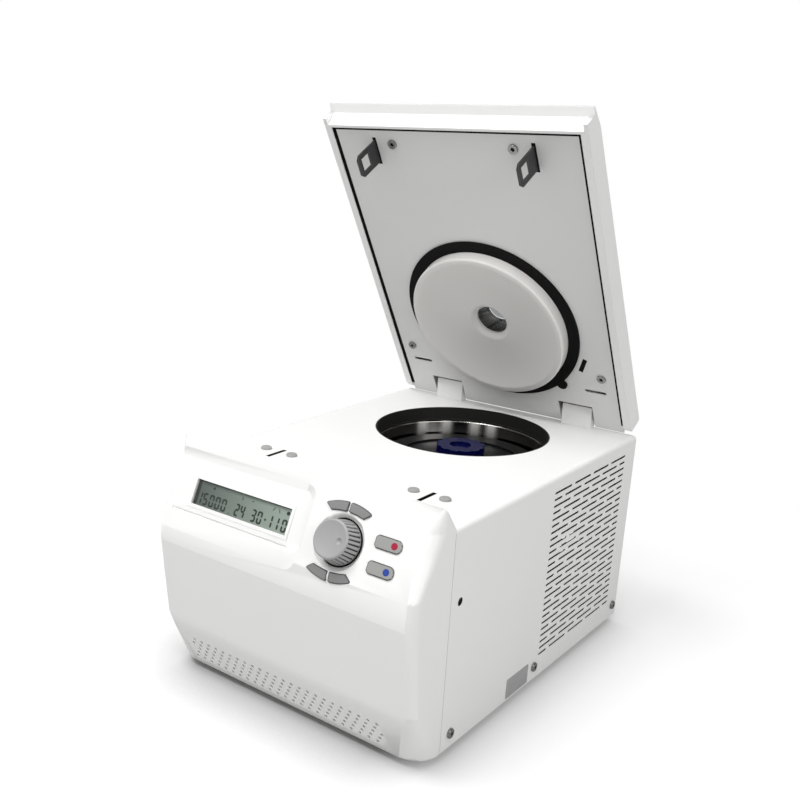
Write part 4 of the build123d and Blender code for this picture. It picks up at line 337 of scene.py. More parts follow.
world = bpy.data.worlds.new("studio")
scene.world = world
world.use_nodes = True
tree = world.node_tree
soft_light = tree.nodes["Background"]
feed(tree, soft_light, {"Color": WHITE, "Strength": SOFT_LIGHT})
mirrored = add_node(tree, "Background", {"Color": WHITE, "Strength": MIRRORED_LIGHT})
white_wall = add_node(tree, "Background", {"Color": WHITE, "Strength": SEEN_LIGHT})
path = add_node(tree, "LightPath")
looked_at = add_node(tree, "Math", {
    0: path.outputs["Is Camera Ray"],
    1: path.outputs["Is Transmission Ray"],
}, operation="MAXIMUM")
in_mirror = add_node(tree, "MixShader", {
    0: path.outputs["Is Glossy Ray"],
    1: soft_light.outputs[0],
    2: mirrored.outputs[0],
})
choose = add_node(tree, "MixShader", {
    0: looked_at.outputs[0],
    1: in_mirror.outputs[0],
    2: white_wall.outputs[0],
})
feed(tree, tree.nodes["World Output"], {"Surface": choose.outputs[0]})


def lamp_from(name, azimuth, elevation, size, watts):
    stand = LAMP_AIM + outwards(azimuth, elevation) * LAMP_DISTANCE
    deselect()
    bpy.ops.object.light_add(type="AREA", location=stand)
    made = bpy.context.object
    made.name = name
    made.data.shape = "DISK"
    made.data.size = size
    made.data.energy = watts
    made.rotation_euler = (LAMP_AIM - stand).to_track_quat("-Z", "Y").to_euler()


lamp_from("key_lamp", -35, 62, LARGE_LAMP, 44)
lamp_from("front_lamp", 10, 42, LARGE_LAMP, 3)
lamp_from("side_lamp", 75, 25, LARGE_LAMP, 16)
for number, azimuth in enumerate(SPARK_AZIMUTHS):
    lamp_from("spark_lamp_" + str(number), azimuth, SPARK_ELEVATION, SMALL_LAMP, SPARK_WATTS)

# %% [markdown]
# ## Effects that several finishes share
#
# Paint, moulded plastic and metal differ less than it seems. Each has a fine relief and a slow change
# of gloss where hands and cloths have been. Their edges get a painted highlight where they catch the
# light, or a painted shade in the gaps round keys and screws. Each effect is a node group with named
# inputs, so that a finish only says how much of it it wants.

# %% Group for fine relief
def new_group(name, inputs, outputs):
    group = bpy.data.node_groups.new(name, "ShaderNodeTree")
    for title, kind, value in inputs:
        socket = group.interface.new_socket(title, in_out="INPUT", socket_type=kind)
        if value is not None:
            socket.default_value = value
    for title, kind in outputs:
        group.interface.new_socket(title, in_out="OUTPUT", socket_type=kind)
    start = group.nodes.new("NodeGroupInput")
    end = group.nodes.new("NodeGroupOutput")
    return group, start, end


FLOAT = "NodeSocketFloat"
VECTOR = "NodeSocketVector"
relief, start, end = new_group(
    "fine_relief",
    [("Vector", VECTOR, None), ("Scale", FLOAT, 900.0), ("Mottle Scale", FLOAT, 12.0)],
    [("Height", FLOAT), ("Mottle", FLOAT)],
)
grain = add_node(relief, "TexNoise", {
    "Vector": start.outputs["Vector"],
    "Scale": start.outputs["Scale"],
    "Detail": 3,
})
mottle = add_node(relief, "TexNoise", {
    "Vector": start.outputs["Vector"],
    "Scale": start.outputs["Mottle Scale"],
    "Detail": 5,
    "Roughness": 0.6,
})
feed(relief, end, {"Height": grain.outputs["Fac"], "Mottle": mottle.outputs["Fac"]})
print("group", relief.name)

# %% Group for painted highlight and shade on edges
EDGE_TONE_NONE = 0.995
EDGE_TONE_FULL = 0.85
edge_tone_group, start, end = new_group(
    "painted_edge_tone",
    [("Vector", VECTOR, None), ("Radius", FLOAT, 0.0006), ("Breakup", FLOAT, 140.0)],
    [("Mask", FLOAT), ("Normal", VECTOR)],
)
# The mask marks edges, where a finish paints a highlight or a shade.
rounding = add_node(edge_tone_group, "Bevel", {"Radius": start.outputs["Radius"]}, samples=6)
shape = add_node(edge_tone_group, "NewGeometry")
compare = add_node(edge_tone_group, "VectorMath", {
    0: rounding.outputs[0],
    1: shape.outputs["Normal"],
}, operation="DOT_PRODUCT")
edge = add_node(edge_tone_group, "MapRange", {
    "Value": compare.outputs["Value"],
    "From Min": EDGE_TONE_NONE,
    "From Max": EDGE_TONE_FULL,
})
patches = add_node(edge_tone_group, "TexNoise", {
    "Vector": start.outputs["Vector"],
    "Scale": start.outputs["Breakup"],
    "Detail": 4,
})
broken = add_node(edge_tone_group, "Math", {0: edge.outputs[0], 1: patches.outputs["Fac"]}, operation="MULTIPLY")
feed(edge_tone_group, end, {"Mask": broken.outputs[0], "Normal": rounding.outputs[0]})
print("group", edge_tone_group.name)

# %% [markdown]
# ### Painted shade inside
#
# Behind slots and gaps the sheet is coloured near black, a painted shade standing for the darkness
# there, and this group finds that inside: it is the part of the surface that lies in a box, which may
# be turned about X.

# %% Group for painted shade inside
shade_box_group, start, end = new_group(
    "painted_shade_box",
    [("Vector", VECTOR, None), ("Half X", FLOAT, 0.1), ("Half Y", FLOAT, 0.1), ("Half Z", FLOAT, 0.1)],
    [("Mask", FLOAT)],
)
split = add_node(shade_box_group, "SeparateXYZ", {0: start.outputs["Vector"]})
within = []
for axis in "XYZ":
    within.append(add_node(shade_box_group, "Math", {
        0: split.outputs[axis],
        1: 0,
        2: start.outputs["Half " + axis],
    }, operation="COMPARE"))
in_column = add_node(shade_box_group, "Math", {
    0: within[0].outputs[0],
    1: within[1].outputs[0],
}, operation="MULTIPLY")
in_box = add_node(shade_box_group, "Math", {
    0: in_column.outputs[0],
    1: within[2].outputs[0],
}, operation="MULTIPLY")
feed(shade_box_group, end, {"Mask": in_box.outputs[0]})
print("group", shade_box_group.name)

# %% [markdown]
# ## Finishes
#
# One function wires the shared effects to a Principled shader, and each finish is one line of values:
# its colour, how rough it is, how deep and how fine its relief is, and what colour is painted on its
# edges as highlight or shade.
# The pattern reads object coordinates, so it stays on the part when the part moves. Boxes given as
# the inside are coloured near black, a painted shade.

# %% Finish maker
# Near black: a painted shade for the insides behind slots and gaps.
PAINTED_SHADE_COLOUR = (0.012, 0.012, 0.012, 1)


def finish(name, colour, roughness, metallic=0.0, grain_scale=900.0, grain_depth=0.00002,
           mottle_scale=12.0, tone=0.03, gloss_change=0.06, edge_radius=0.0005, edge_colour=None,
           painted_edge_amount=0.3, specular=0.5, inside=()):
    made, tree, shader = new_material(name)
    place = object_place(tree)
    fine = add_node(tree, "Group", {
        "Vector": place,
        "Scale": grain_scale,
        "Mottle Scale": mottle_scale,
    }, node_tree=relief)
    edge_tone = add_node(tree, "Group", {"Vector": place, "Radius": edge_radius}, node_tree=edge_tone_group)

    tint = add_node(tree, "Mix", {
        "Factor": fine.outputs["Mottle"],
        "A": (*[c * (1 - tone) for c in colour], 1),
        "B": (*[min(1.0, c * (1 + tone)) for c in colour], 1),
    }, data_type="RGBA")
    # Edge colour is a painted highlight or a painted shade along the edges.
    amount = add_node(tree, "Math", {0: edge_tone.outputs["Mask"], 1: painted_edge_amount}, operation="MULTIPLY")
    coloured = add_node(tree, "Mix", {
        "Factor": amount.outputs[0],
        "A": tint.outputs["Result"],
        "B": (*(edge_colour or colour), 1),
    }, data_type="RGBA")
    # Each box colours the surface inside it near black, a painted shade.
    for centre, half, turn in inside:
        move = add_node(tree, "Mapping", {
            "Vector": place,
            "Rotation": (turn, 0, 0),
            "Location": -(Matrix.Rotation(turn, 3, "X") @ Vector(centre)),
        })
        box = add_node(tree, "Group", {
            "Vector": move.outputs[0],
            "Half X": half[0],
            "Half Y": half[1],
            "Half Z": half[2],
        }, node_tree=shade_box_group)
        coloured = add_node(tree, "Mix", {
            "Factor": box.outputs["Mask"],
            "A": coloured.outputs["Result"],
            "B": PAINTED_SHADE_COLOUR,
        }, data_type="RGBA")

    gloss = add_node(tree, "MapRange", {
        "Value": fine.outputs["Mottle"],
        "To Min": roughness - gloss_change,
        "To Max": roughness + gloss_change,
    })
    bump = add_node(tree, "Bump", {
        "Height": fine.outputs["Height"],
        "Normal": edge_tone.outputs["Normal"],
        "Distance": grain_depth,
    })
    feed(tree, shader, {
        "Base Color": coloured.outputs["Result"],
        "Roughness": gloss.outputs[0],
        "Normal": bump.outputs[0],
        "Metallic": metallic,
        "Specular IOR Level": specular,
    })
    return made


print("inside colour", PAINTED_SHADE_COLOUR)

# %% [markdown]
# ### Where the insides lie
#
# The case is a bent sheet, so its inside is its box less a thin skin, without the bends. The chin of
# the front shell leans back, so its box is turned, and so are the two boxes of the open lid: one
# under its flat top and one under its sloping front.

# %% Boxes of the painted shade inside
SKIN = 0.0004
BEND = 0.012
CHIN_TOE_IN = 0.0283
CHIN_TOP_IN = 0.0444
CHIN_H = 0.044
CHIN_HALF_X = 0.147
CHIN_HALF_T = 0.0025
LID_TURN = radians(59.2)
LID_SKIN_T = 0.0062
LID_PLATE_T = 0.0176
PLATE_UPPER_T = 0.0146
LID_RIM_X = 0.1425
PLATE_LEAD = 0.0016
SLOPE_START = 0.33
SLOPE_UPPER = 0.0095
joints = {joint["name"]: joint for joint in frame["joints"]}


def span(low, high):
    low = Vector(low)
    high = Vector(high)
    return (low + high) / 2, (high - low) / 2, 0


case_low, case_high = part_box("case_wrap")
inside_front_y = case_low.y - SKIN
inside_back_y = case_high.y - BEND
side_walls = span((case_low.x + SKIN, inside_front_y, 0),
                  (case_high.x - SKIN, inside_back_y, case_high.z - BEND))
top_sheet = span((case_low.x + BEND, inside_front_y, 0),
                 (case_high.x - BEND, inside_back_y, case_high.z - SKIN))

shell_low, shell_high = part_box("front_shell")
chin_toe = Vector((0, shell_high.y - CHIN_TOE_IN, shell_low.z))
chin_top = Vector((0, shell_high.y - CHIN_TOP_IN, shell_low.z + CHIN_H))
chin_run = chin_top - chin_toe
chin_tilt = atan2(chin_run.z, -chin_run.y)
chin_in = Vector((0, sin(chin_tilt), cos(chin_tilt)))
chin_half = (CHIN_HALF_X, chin_run.length / 2, CHIN_HALF_T)
chin_box = ((chin_toe + chin_top) / 2 + chin_in * (CHIN_HALF_T + SKIN), chin_half, chin_tilt)

hinge = Vector(joints["lid_hinge"]["pos_m"])
along_lid = Vector((0, -cos(LID_TURN), sin(LID_TURN)))
below_lid = Vector((0, -sin(LID_TURN), -cos(LID_TURN)))
plate_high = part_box("lid_plate")[1]
plate_end = (plate_high.z - hinge.z + PLATE_UPPER_T * cos(LID_TURN)) / sin(LID_TURN)


def lid_box(near, far, upper, lower):
    middle = hinge + along_lid * (near + far) / 2 + below_lid * (upper + lower) / 2
    return middle, (LID_RIM_X, (far - near) / 2, (lower - upper) / 2), LID_TURN


flat_part = lid_box(0, SLOPE_START, -LID_SKIN_T, LID_PLATE_T)
sloping_part = lid_box(SLOPE_START, plate_end + PLATE_LEAD, SLOPE_UPPER, LID_PLATE_T)
print("plate ends along the lid at", round(plate_end, 4))

# %% Finishes
white_paint = finish("white_paint", (0.88, 0.88, 0.87), 0.42,
                     grain_scale=1400, grain_depth=0.000012, tone=0.01)
wrap_paint = finish("wrap_paint", (0.88, 0.88, 0.87), 0.42,
                    grain_scale=1400, grain_depth=0.000012, tone=0.01,
                    inside=(side_walls, top_sheet))
shell_moulding = finish("shell_moulding", (0.89, 0.89, 0.88), 0.34,
                        grain_scale=2200, grain_depth=0.000006, tone=0.008, edge_radius=0.0008,
                        inside=(chin_box,))
lid_moulding = finish("lid_moulding", (0.89, 0.89, 0.88), 0.34,
                      grain_scale=2200, grain_depth=0.000006, tone=0.008, edge_radius=0.0008,
                      inside=(flat_part, sloping_part))
plate_paint = finish("plate_paint", (0.74, 0.74, 0.73), 0.5,
                     grain_scale=1400, grain_depth=0.000015, tone=0.015)
plug_moulding = finish("plug_moulding", (0.74, 0.73, 0.71), 0.38,
                       grain_scale=2000, grain_depth=0.000006, tone=0.01, edge_radius=0.001)
black_rubber = finish("black_rubber", (0.004, 0.004, 0.004), 0.66,
                      grain_scale=1800, grain_depth=0.00003, tone=0.2, specular=0.12)
collar_rubber = finish("collar_rubber", (0.014, 0.014, 0.013), 0.55,
                       grain_scale=1800, grain_depth=0.00003, tone=0.15, specular=0.3)
grey_rubber = finish("grey_rubber", (0.34, 0.34, 0.33), 0.6,
                     grain_scale=1800, grain_depth=0.00003, tone=0.15)
zinc_steel = finish("zinc_steel", (0.62, 0.62, 0.6), 0.38, metallic=1.0,
                    grain_scale=500, mottle_scale=60, tone=0.12, gloss_change=0.12)
# Light edge colours on the strikers, the lid screws and the rotor are painted highlights; the near-black
# edges of the case screws and of the keys are painted shade, for the keys the gap round each key.
black_steel = finish("black_steel", (0.05, 0.05, 0.052), 0.32, metallic=0.6, tone=0.1,
                     edge_colour=(0.5, 0.5, 0.5), painted_edge_amount=0.8)
lid_screw_steel = finish("lid_screw_steel", (0.3, 0.3, 0.3), 0.3, metallic=1.0, tone=0.08,
                         edge_radius=0.0006, edge_colour=(0.8, 0.8, 0.8), painted_edge_amount=1.0)
screw_steel = finish("screw_steel", (0.3, 0.3, 0.29), 0.26, metallic=1.0, tone=0.08,
                     edge_radius=0.0006, edge_colour=(0.03, 0.03, 0.03), painted_edge_amount=1.5)
tag_metal = finish("tag_metal", (0.66, 0.66, 0.66), 0.36, metallic=0.9, grain_scale=700, tone=0.05)
black_plastic = finish("black_plastic", (0.02, 0.02, 0.021), 0.45, grain_scale=2000, tone=0.1)
board_green = finish("board_green", (0.02, 0.16, 0.06), 0.4, tone=0.15)
knob_grey = finish("knob_grey", (0.36, 0.36, 0.36), 0.4, grain_scale=1800, tone=0.03)
# Near black in the knob's grooves: a painted shade.
groove_painted_shade = finish("groove_painted_shade", (0.02, 0.02, 0.02), 0.5, grain_scale=1800, tone=0.03)
key_grey = finish("key_grey", (0.24, 0.24, 0.24), 0.4, grain_scale=1800, tone=0.03,
                  edge_radius=0.0014, edge_colour=(0.012, 0.012, 0.012), painted_edge_amount=4.0)
key_light = finish("key_light", (0.33, 0.33, 0.32), 0.4, grain_scale=1800, tone=0.02,
                   edge_radius=0.0014, edge_colour=(0.02, 0.02, 0.02), painted_edge_amount=4.0)
rotor_black = finish("rotor_black", (0.012, 0.012, 0.014), 0.3, metallic=0.5, tone=0.15,
                     edge_colour=(0.3, 0.3, 0.32), painted_edge_amount=0.3)
grip_blue = finish("grip_blue", (0.002, 0.003, 0.045), 0.24, tone=0.05, specular=0.1)
brass = finish("brass_pins", (0.65, 0.48, 0.2), 0.3, metallic=1.0, tone=0.06)
cast_aluminium = finish("cast_aluminium", (0.5, 0.5, 0.5), 0.5, metallic=0.9,
                        grain_scale=400, grain_depth=0.00008)
stator_iron = finish("stator_iron", (0.2, 0.19, 0.18), 0.5, metallic=0.8)
print("finishes:", len(bpy.data.materials))

# %% [markdown]
# ### Spun steel
#
# The bowl is drawn and polished on a lathe, so its finest scratches run in circles round its axis.
# A wave texture of rings about the bowl's centre gives those circles a faint relief. A few upright
# streaks are a painted highlight, standing for reflections of lamps: a ramp over the turn about the
# axis makes the colour bright and the steel less metallic there, strongest at the rim.

# %% Spun steel
# Turns about the axis where a painted highlight streak lies.
STREAKS = (0.7725, 0.8075, 0.8661, 0.9194)
STREAK_W = 0.017
STREAK_DROP = 0.03
RING_SCALE = 900
RING_DEPTH = 0.000006
DULL_STEEL = (0.34, 0.33, 0.31, 1)
HIGHLIGHT_STEEL = (0.95, 0.94, 0.9, 1)
STREAK_METALLIC = 0.3

spun_steel, tree, shader = new_material("spun_steel")
bowl_low, bowl_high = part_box("bowl")
bowl_centre = (bowl_low + bowl_high) / 2
place = object_place(tree)
centre = add_node(tree, "Mapping", {"Vector": place, "Location": (-bowl_centre.x, -bowl_centre.y, 0)})
rings = add_node(tree, "TexWave", {
    "Vector": centre.outputs[0],
    "Scale": RING_SCALE,
    "Distortion": 1.5,
    "Detail": 3,
}, wave_type="RINGS", rings_direction="SPHERICAL")
bump = add_node(tree, "Bump", {"Height": rings.outputs["Fac"], "Distance": RING_DEPTH})

turn_about = add_node(tree, "TexGradient", {"Vector": centre.outputs[0]}, gradient_type="RADIAL")
streaks = add_node(tree, "ValToRGB", {"Fac": turn_about.outputs["Color"]})
ramp = streaks.color_ramp
ramp.elements[0].position = 0.0
ramp.elements[1].position = 1.0
ramp.elements[1].color = (0, 0, 0, 1)
for spot in STREAKS:
    for offset, level in ((-STREAK_W, 0), (-STREAK_W / 3, 1), (STREAK_W / 3, 1), (STREAK_W, 0)):
        mark = ramp.elements.new(spot + offset)
        mark.color = (level, level, level, 1)
split = add_node(tree, "SeparateXYZ", {0: place})
band = add_node(tree, "MapRange", {
    "Value": split.outputs["Z"],
    "From Min": bowl_high.z - STREAK_DROP,
    "From Max": bowl_high.z,
})
# The painted highlight, bright in the streaks near the rim.
painted_highlight = add_node(tree, "Math", {
    0: streaks.outputs["Color"],
    1: band.outputs[0],
}, operation="MULTIPLY")
steel_tint = add_node(tree, "Mix", {
    "Factor": painted_highlight.outputs[0],
    "A": DULL_STEEL,
    "B": HIGHLIGHT_STEEL,
}, data_type="RGBA")
steel_metal = add_node(tree, "MapRange", {
    "Value": painted_highlight.outputs[0],
    "To Min": 1.0,
    "To Max": STREAK_METALLIC,
})
feed(tree, shader, {
    "Base Color": steel_tint.outputs["Result"],
    "Metallic": steel_metal.outputs[0],
    "Normal": bump.outputs[0],
    "Roughness": 0.13,
})
print("streaks in the bowl:", len(STREAKS))


# %% Glass
def hazy_glass(name, colour, haze_scale, clearest, haziest):
    made, tree, shader = new_material(name)
    haze = add_node(tree, "TexNoise", {"Vector": object_place(tree), "Scale": haze_scale})
    haze_range = add_node(tree, "MapRange", {
        "Value": haze.outputs["Fac"],
        "To Min": clearest,
        "To Max": haziest,
    })
    feed(tree, shader, {"Base Color": (*colour, 1), "Roughness": haze_range.outputs[0]})
    return made, shader


clear_glass, shader = hazy_glass("clear_glass", (0.86, 0.9, 0.88), 60, 0.0, 0.06)
shader.inputs["Transmission Weight"].default_value = 1.0
shader.inputs["IOR"].default_value = 1.45
cover_glass, shader = hazy_glass("cover_glass", (0.3, 0.34, 0.32), 90, 0.02, 0.1)
shader.inputs["Alpha"].default_value = 0.14
print("glasses:", clear_glass.name, cover_glass.name)

# %% [markdown]
# ## Dress the frame
#
# Each part of the frame gets its finish by name. A part keeps its own mesh here; only its material
# slot changes.

# %% Finishes for the frame's parts
FINISHES = {
    white_paint: "rear_panel hinge_blocks",
    wrap_paint: "case_wrap",
    shell_moulding: "front_shell",
    lid_moulding: "lid_shell",
    plate_paint: "lid_plate",
    plug_moulding: "lid_plug",
    black_rubber: "feet lid_seal damper_mounts shaft_boot",
    collar_rubber: "bowl_collar",
    grey_rubber: "bumpers",
    zinc_steel: "base_plate knob_encoder encoder_plunger knob_shaft bowl_ring hinge_pins lid_springs "
                "lid_hinge_ears latch_frame lock_bar solenoid_plunger drive_shaft motor_bearings "
                "motor_plate fan_guard",
    black_steel: "strikers",
    screw_steel: "case_screws",
    lid_screw_steel: "lid_screws",
    tag_metal: "rating_plate",
    black_plastic: "side_stiffeners display_module lock_solenoid mains_inlet switch_bezel "
                   "switch_rocker fan_frame fan_rotor",
    board_green: "control_board power_board drive_board",
    knob_grey: "control_knob",
    key_grey: "arc_key_upper_left arc_key_upper_right arc_key_lower_left arc_key_lower_right",
    key_light: "start_key stop_key",
    rotor_black: "rotor rotor_lid",
    grip_blue: "rotor_knob",
    brass: "inlet_pins",
    cast_aluminium: "motor_housing",
    stator_iron: "motor_armature motor_stator",
    spun_steel: "bowl",
    clear_glass: "sight_glass",
    cover_glass: "display_glass",
}
finish_of = {name: made for made, names in FINISHES.items() for name in names.split()}
for name, node in nodes.items():
    node.data.materials.clear()
    node.data.materials.append(finish_of[name])
print("dressed", len(finish_of), "of", len(nodes))

# %% [markdown]
# ## Smooth skins
#
# The frame's meshes are loose triangles, so a curved moulding shows its facets. A copy whose corners
# are merged can be shaded smoothly up to an angle, and stands in for the part.

# %% Smooth copies of the curved parts
MERGE_DISTANCE = 0.00001
FLAT_ANGLE = radians(0.05)
SMOOTH_UP_TO = 32
CRISP = {"lid_shell": 12, "hinge_blocks": 12}
SKINNED = ("front_shell case_wrap lid_shell lid_plug lid_seal bowl bowl_collar rotor rotor_lid "
           "rotor_knob bumpers feet start_key stop_key arc_key_upper_left arc_key_upper_right "
           "arc_key_lower_left arc_key_lower_right hinge_blocks")
BODY_OF = {name: body for body, names in frame["record"]["behaviour"]["bodies"].items() for name in names}


def smooth_skin(name, degrees):
    source = nodes[name]
    skin = source.copy()
    skin.data = source.data.copy()
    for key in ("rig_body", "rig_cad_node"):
        if key in skin:
            del skin[key]
    skin.parent = None
    skin.name = name + "_skin"
    skin.data.name = skin.name
    scene.collection.objects.link(skin)
    edit_all(skin)
    bpy.ops.mesh.remove_doubles(threshold=MERGE_DISTANCE)
    bpy.ops.mesh.dissolve_limited(angle_limit=FLAT_ANGLE)
    object_mode()
    smooth(skin, degrees)
    level_normals = skin.modifiers.new("level_normals", "WEIGHTED_NORMAL")
    level_normals.keep_sharp = True
    level_normals.weight = 80
    apply_modifiers(skin)
    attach(skin, BODY_OF[name])
    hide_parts(name)
    return skin


skins = {name: smooth_skin(name, CRISP.get(name, SMOOTH_UP_TO)) for name in SKINNED.split()}
print("skins:", sum(len(item.data.polygons) for item in skins.values()), "faces")

# %% [markdown]
# ## The control knob
#
# The knob is a short cone of 120 sides. Every second pair of sides is pressed in, which leaves thirty
# ribs that stop short of the top; the grooves are coloured near black, a painted shade. Its top edge
# is rounded and a ball presses the finger dimple into it. It is modelled upright at the origin and
# then set on the panel, whose direction is the axis that the frame gives for the knob's turn.

# %% Control knob
X_AXIS = Vector((1, 0, 0))
KNOB_BASE_R = 20.7
KNOB_TOP_R = 18.0
KNOB_H = 18.0
KNOB_SINK = 3.8
KNOB_SIDES = 120
KNOB_BEVEL = 1.5
RIB_SIDES = 4
GROOVE_MARGIN = 0.4
GROOVE_DEPTH = 0.9
TOP_RING_W = 0.4
TOP_RING_DEPTH = 0.2
DIMPLE_X = 9.5
DIMPLE_BALL_R = 4.0
DIMPLE_BALL_RISE = 2.2
knob_centre = Vector(joints["knob_turn"]["pos_m"])
panel_out = Vector(joints["knob_turn"]["axis"]).normalized()
panel_up = panel_out.cross(X_AXIS)
panel_turn = Matrix((X_AXIS, panel_up, panel_out)).transposed().to_4x4()


def set_on_panel(item, x, up, out):
    place = knob_centre + (X_AXIS * x + panel_up * up + panel_out * out) * MM
    item.matrix_world = Matrix.Translation(place) @ panel_turn
    settle(item)


def in_groove(face):
    turn = Vector(face.center.xy).angle_signed(Vector((1, 0))) % (2 * pi)
    return abs(face.normal.z) < 0.2 and int(turn / (2 * pi) * KNOB_SIDES) % RIB_SIDES < RIB_SIDES / 2


def faces_up(face):
    return face.normal.z > 0.9


deselect()
bpy.ops.mesh.primitive_cone_add(vertices=KNOB_SIDES, radius1=KNOB_BASE_R * MM, radius2=KNOB_TOP_R * MM,
                                depth=KNOB_H * MM, location=(0, 0, 0))
knob = newest("ribbed_knob")
edit_faces(knob, faces_up)
bpy.ops.mesh.bevel(offset=KNOB_BEVEL * MM, segments=4, affect="EDGES")
object_mode()
knob.data.materials.append(knob_grey)
knob.data.materials.append(groove_painted_shade)
edit_faces(knob, in_groove)
bpy.ops.mesh.inset(thickness=GROOVE_MARGIN * MM, depth=-GROOVE_DEPTH * MM)
knob.active_material_index = 1
bpy.ops.object.material_slot_assign()
object_mode()
edit_faces(knob, lambda face: faces_up(face) and len(face.vertices) > RIB_SIDES)
bpy.ops.mesh.inset(thickness=TOP_RING_W * MM, depth=0)
bpy.ops.mesh.inset(thickness=TOP_RING_W * MM, depth=-TOP_RING_DEPTH * MM)
object_mode()

deselect()
bpy.ops.mesh.primitive_uv_sphere_add(segments=48, ring_count=32, radius=DIMPLE_BALL_R * MM,
                                     location=(DIMPLE_X * MM, 0, (KNOB_H / 2 + DIMPLE_BALL_RISE) * MM))
ball = newest("dimple_ball")
press = knob.modifiers.new("press", "BOOLEAN")
press.operation = "DIFFERENCE"
press.object = ball
apply_modifiers(knob)
bpy.data.objects.remove(ball)
set_on_panel(knob, 0, 0, KNOB_H / 2 - KNOB_SINK)
smooth(knob, 35)
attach(knob, BODY_OF["control_knob"])
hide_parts("control_knob")
print("knob faces:", len(knob.data.polygons))

# %% [markdown]
# A thin black ring under the knob is a painted contact shadow: it shows as a dark line round the knob,
# and moves with it.

# %% Painted shadow ring under the knob
SHADOW_RING_R = 22.2
SHADOW_RING_T = 0.25
deselect()
bpy.ops.mesh.primitive_cylinder_add(vertices=96, radius=SHADOW_RING_R * MM, depth=SHADOW_RING_T * MM)
shadow_ring = newest("knob_shadow_ring")
set_on_panel(shadow_ring, 0, 0, -KNOB_SINK - SHADOW_RING_T / 2)
smooth(shadow_ring)
shadow_ring.data.materials.append(black_rubber)
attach(shadow_ring, BODY_OF["control_knob"])
print("washer shows", round(SHADOW_RING_R - KNOB_BASE_R, 2), "mm of its edge")

# %% [markdown]
# ## Dots on the two pill keys
#
# A red and a blue dot tell the two keys apart. Each is a thin disc that moves with its key.

# %% Key dots
DOT_R = 3.15
DOT_T = 0.3
DOT_X = 56.1
START_DOT_UP = 11.2
STOP_DOT_UP = -11.8
KEY_RISE = 1.5
red_print = finish("red_print", (0.38, 0.012, 0.045), 0.4, tone=0.02)
blue_print = finish("blue_print", (0.025, 0.06, 0.32), 0.4, tone=0.02)
for key, up, made in (("start_key", START_DOT_UP, red_print), ("stop_key", STOP_DOT_UP, blue_print)):
    deselect()
    bpy.ops.mesh.primitive_cylinder_add(vertices=64, radius=DOT_R * MM, depth=DOT_T * MM)
    dot = newest(key + "_dot")
    set_on_panel(dot, DOT_X, up, KEY_RISE)
    smooth(dot)
    dot.data.materials.append(made)
    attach(dot, BODY_OF[key])
print("dots set")

# %% [markdown]
# ## Painted shade on the lid
#
# The strikers pass through slots in the lid's plate, the lid screws have hex sockets, a shadow gap
# runs round the plate and a short slot lies beside the seal. Black strips and hexagons are painted
# shade for the dark inside of these slots, sockets and gap. They are placed in the lid's own
# directions: across it, along it from the hinge, and out from its inner face. A strip is given by its
# place, width, length and turn.

# %% Painted shade in the slots, sockets and edge gap of the lid
PLATE_OUT = 16.1
STRIP_T = 0.1
STRIKER_X = 92.0
STRIKER_ALONG = 337.0
SLOT_W = 4.4
SLOT_L = 31.0
SEAL_SLOT = (104.0, 81.0, 5.0, 20.0, -23)
SCREWS = ((-70.0, 345.5), (70.0, 345.5), (-123.8, 66.0), (123.8, 66.0))
SOCKET_R = 2.3
SOCKET_OUT = 0.75
SHADOW_GAP_W = 2.2
plate_half = plate_high.x / MM
plate_lead = plate_end / MM
lid_turn = Matrix((X_AXIS, along_lid, below_lid)).transposed().to_4x4()


def set_on_lid(item, x, along, out):
    place = hinge + (X_AXIS * x + along_lid * along + below_lid * out) * MM
    item.matrix_world = Matrix.Translation(place) @ lid_turn
    settle(item)


STRIPS = [
    (-STRIKER_X, STRIKER_ALONG, SLOT_W, SLOT_L, 0),
    (STRIKER_X, STRIKER_ALONG, SLOT_W, SLOT_L, 0),
    (SHADOW_GAP_W / 2 - plate_half, plate_lead / 2, SHADOW_GAP_W, plate_lead, 0),
    (plate_half - SHADOW_GAP_W / 2, plate_lead / 2, SHADOW_GAP_W, plate_lead, 0),
    (0, plate_lead - SHADOW_GAP_W / 2, 2 * plate_half, SHADOW_GAP_W, 0),
    SEAL_SLOT,
]
shadow_patches = []
for x, along, width, length, turn in STRIPS:
    slot = slab("lid_shadow_patch", width, length, STRIP_T, turn)
    set_on_lid(slot, x, along, PLATE_OUT + STRIP_T / 2)
    shadow_patches.append(slot)
for x, along in SCREWS:
    deselect()
    bpy.ops.mesh.primitive_cylinder_add(vertices=6, radius=SOCKET_R * MM, depth=STRIP_T * MM)
    socket = newest("lid_shadow_patch")
    set_on_lid(socket, x, along, PLATE_OUT + SOCKET_OUT)
    shadow_patches.append(socket)
lid_shadow_patches = join_as("lid_shadow_patches", shadow_patches)
# The black rubber colour here is a painted shade.
lid_shadow_patches.data.materials.append(black_rubber)
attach(lid_shadow_patches, BODY_OF["lid_plate"])
print("dark parts of the lid:", len(shadow_patches))

# %% [markdown]
# ## The display
#
# The display is a pale green panel behind the glass, with dark figures of seven bars each. It is
# darker towards its left end, a painted shade, and black strips along its left and upper edge are a
# painted shadow of the window's edges.

# %% Display panel
TRAY_TILT = radians(65.2)
GLASS_H = 25.1
GLASS_T = 2.2
PANEL_T = 0.3
# From shaded to lit across the panel: a painted shade at its left end.
LCD_SHADED = (0.06, 0.08, 0.066, 1)
LCD_LIT = (0.34, 0.41, 0.35, 1)
tray_up = Vector((0, cos(TRAY_TILT), sin(TRAY_TILT)))
tray_out = Vector((0, -sin(TRAY_TILT), cos(TRAY_TILT)))
tray_turn = Matrix((X_AXIS, tray_up, tray_out)).transposed().to_4x4()
glass_low, glass_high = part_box("display_glass")
glass_centre = (glass_low + glass_high) / 2
glass_w = (glass_high.x - glass_low.x) / MM


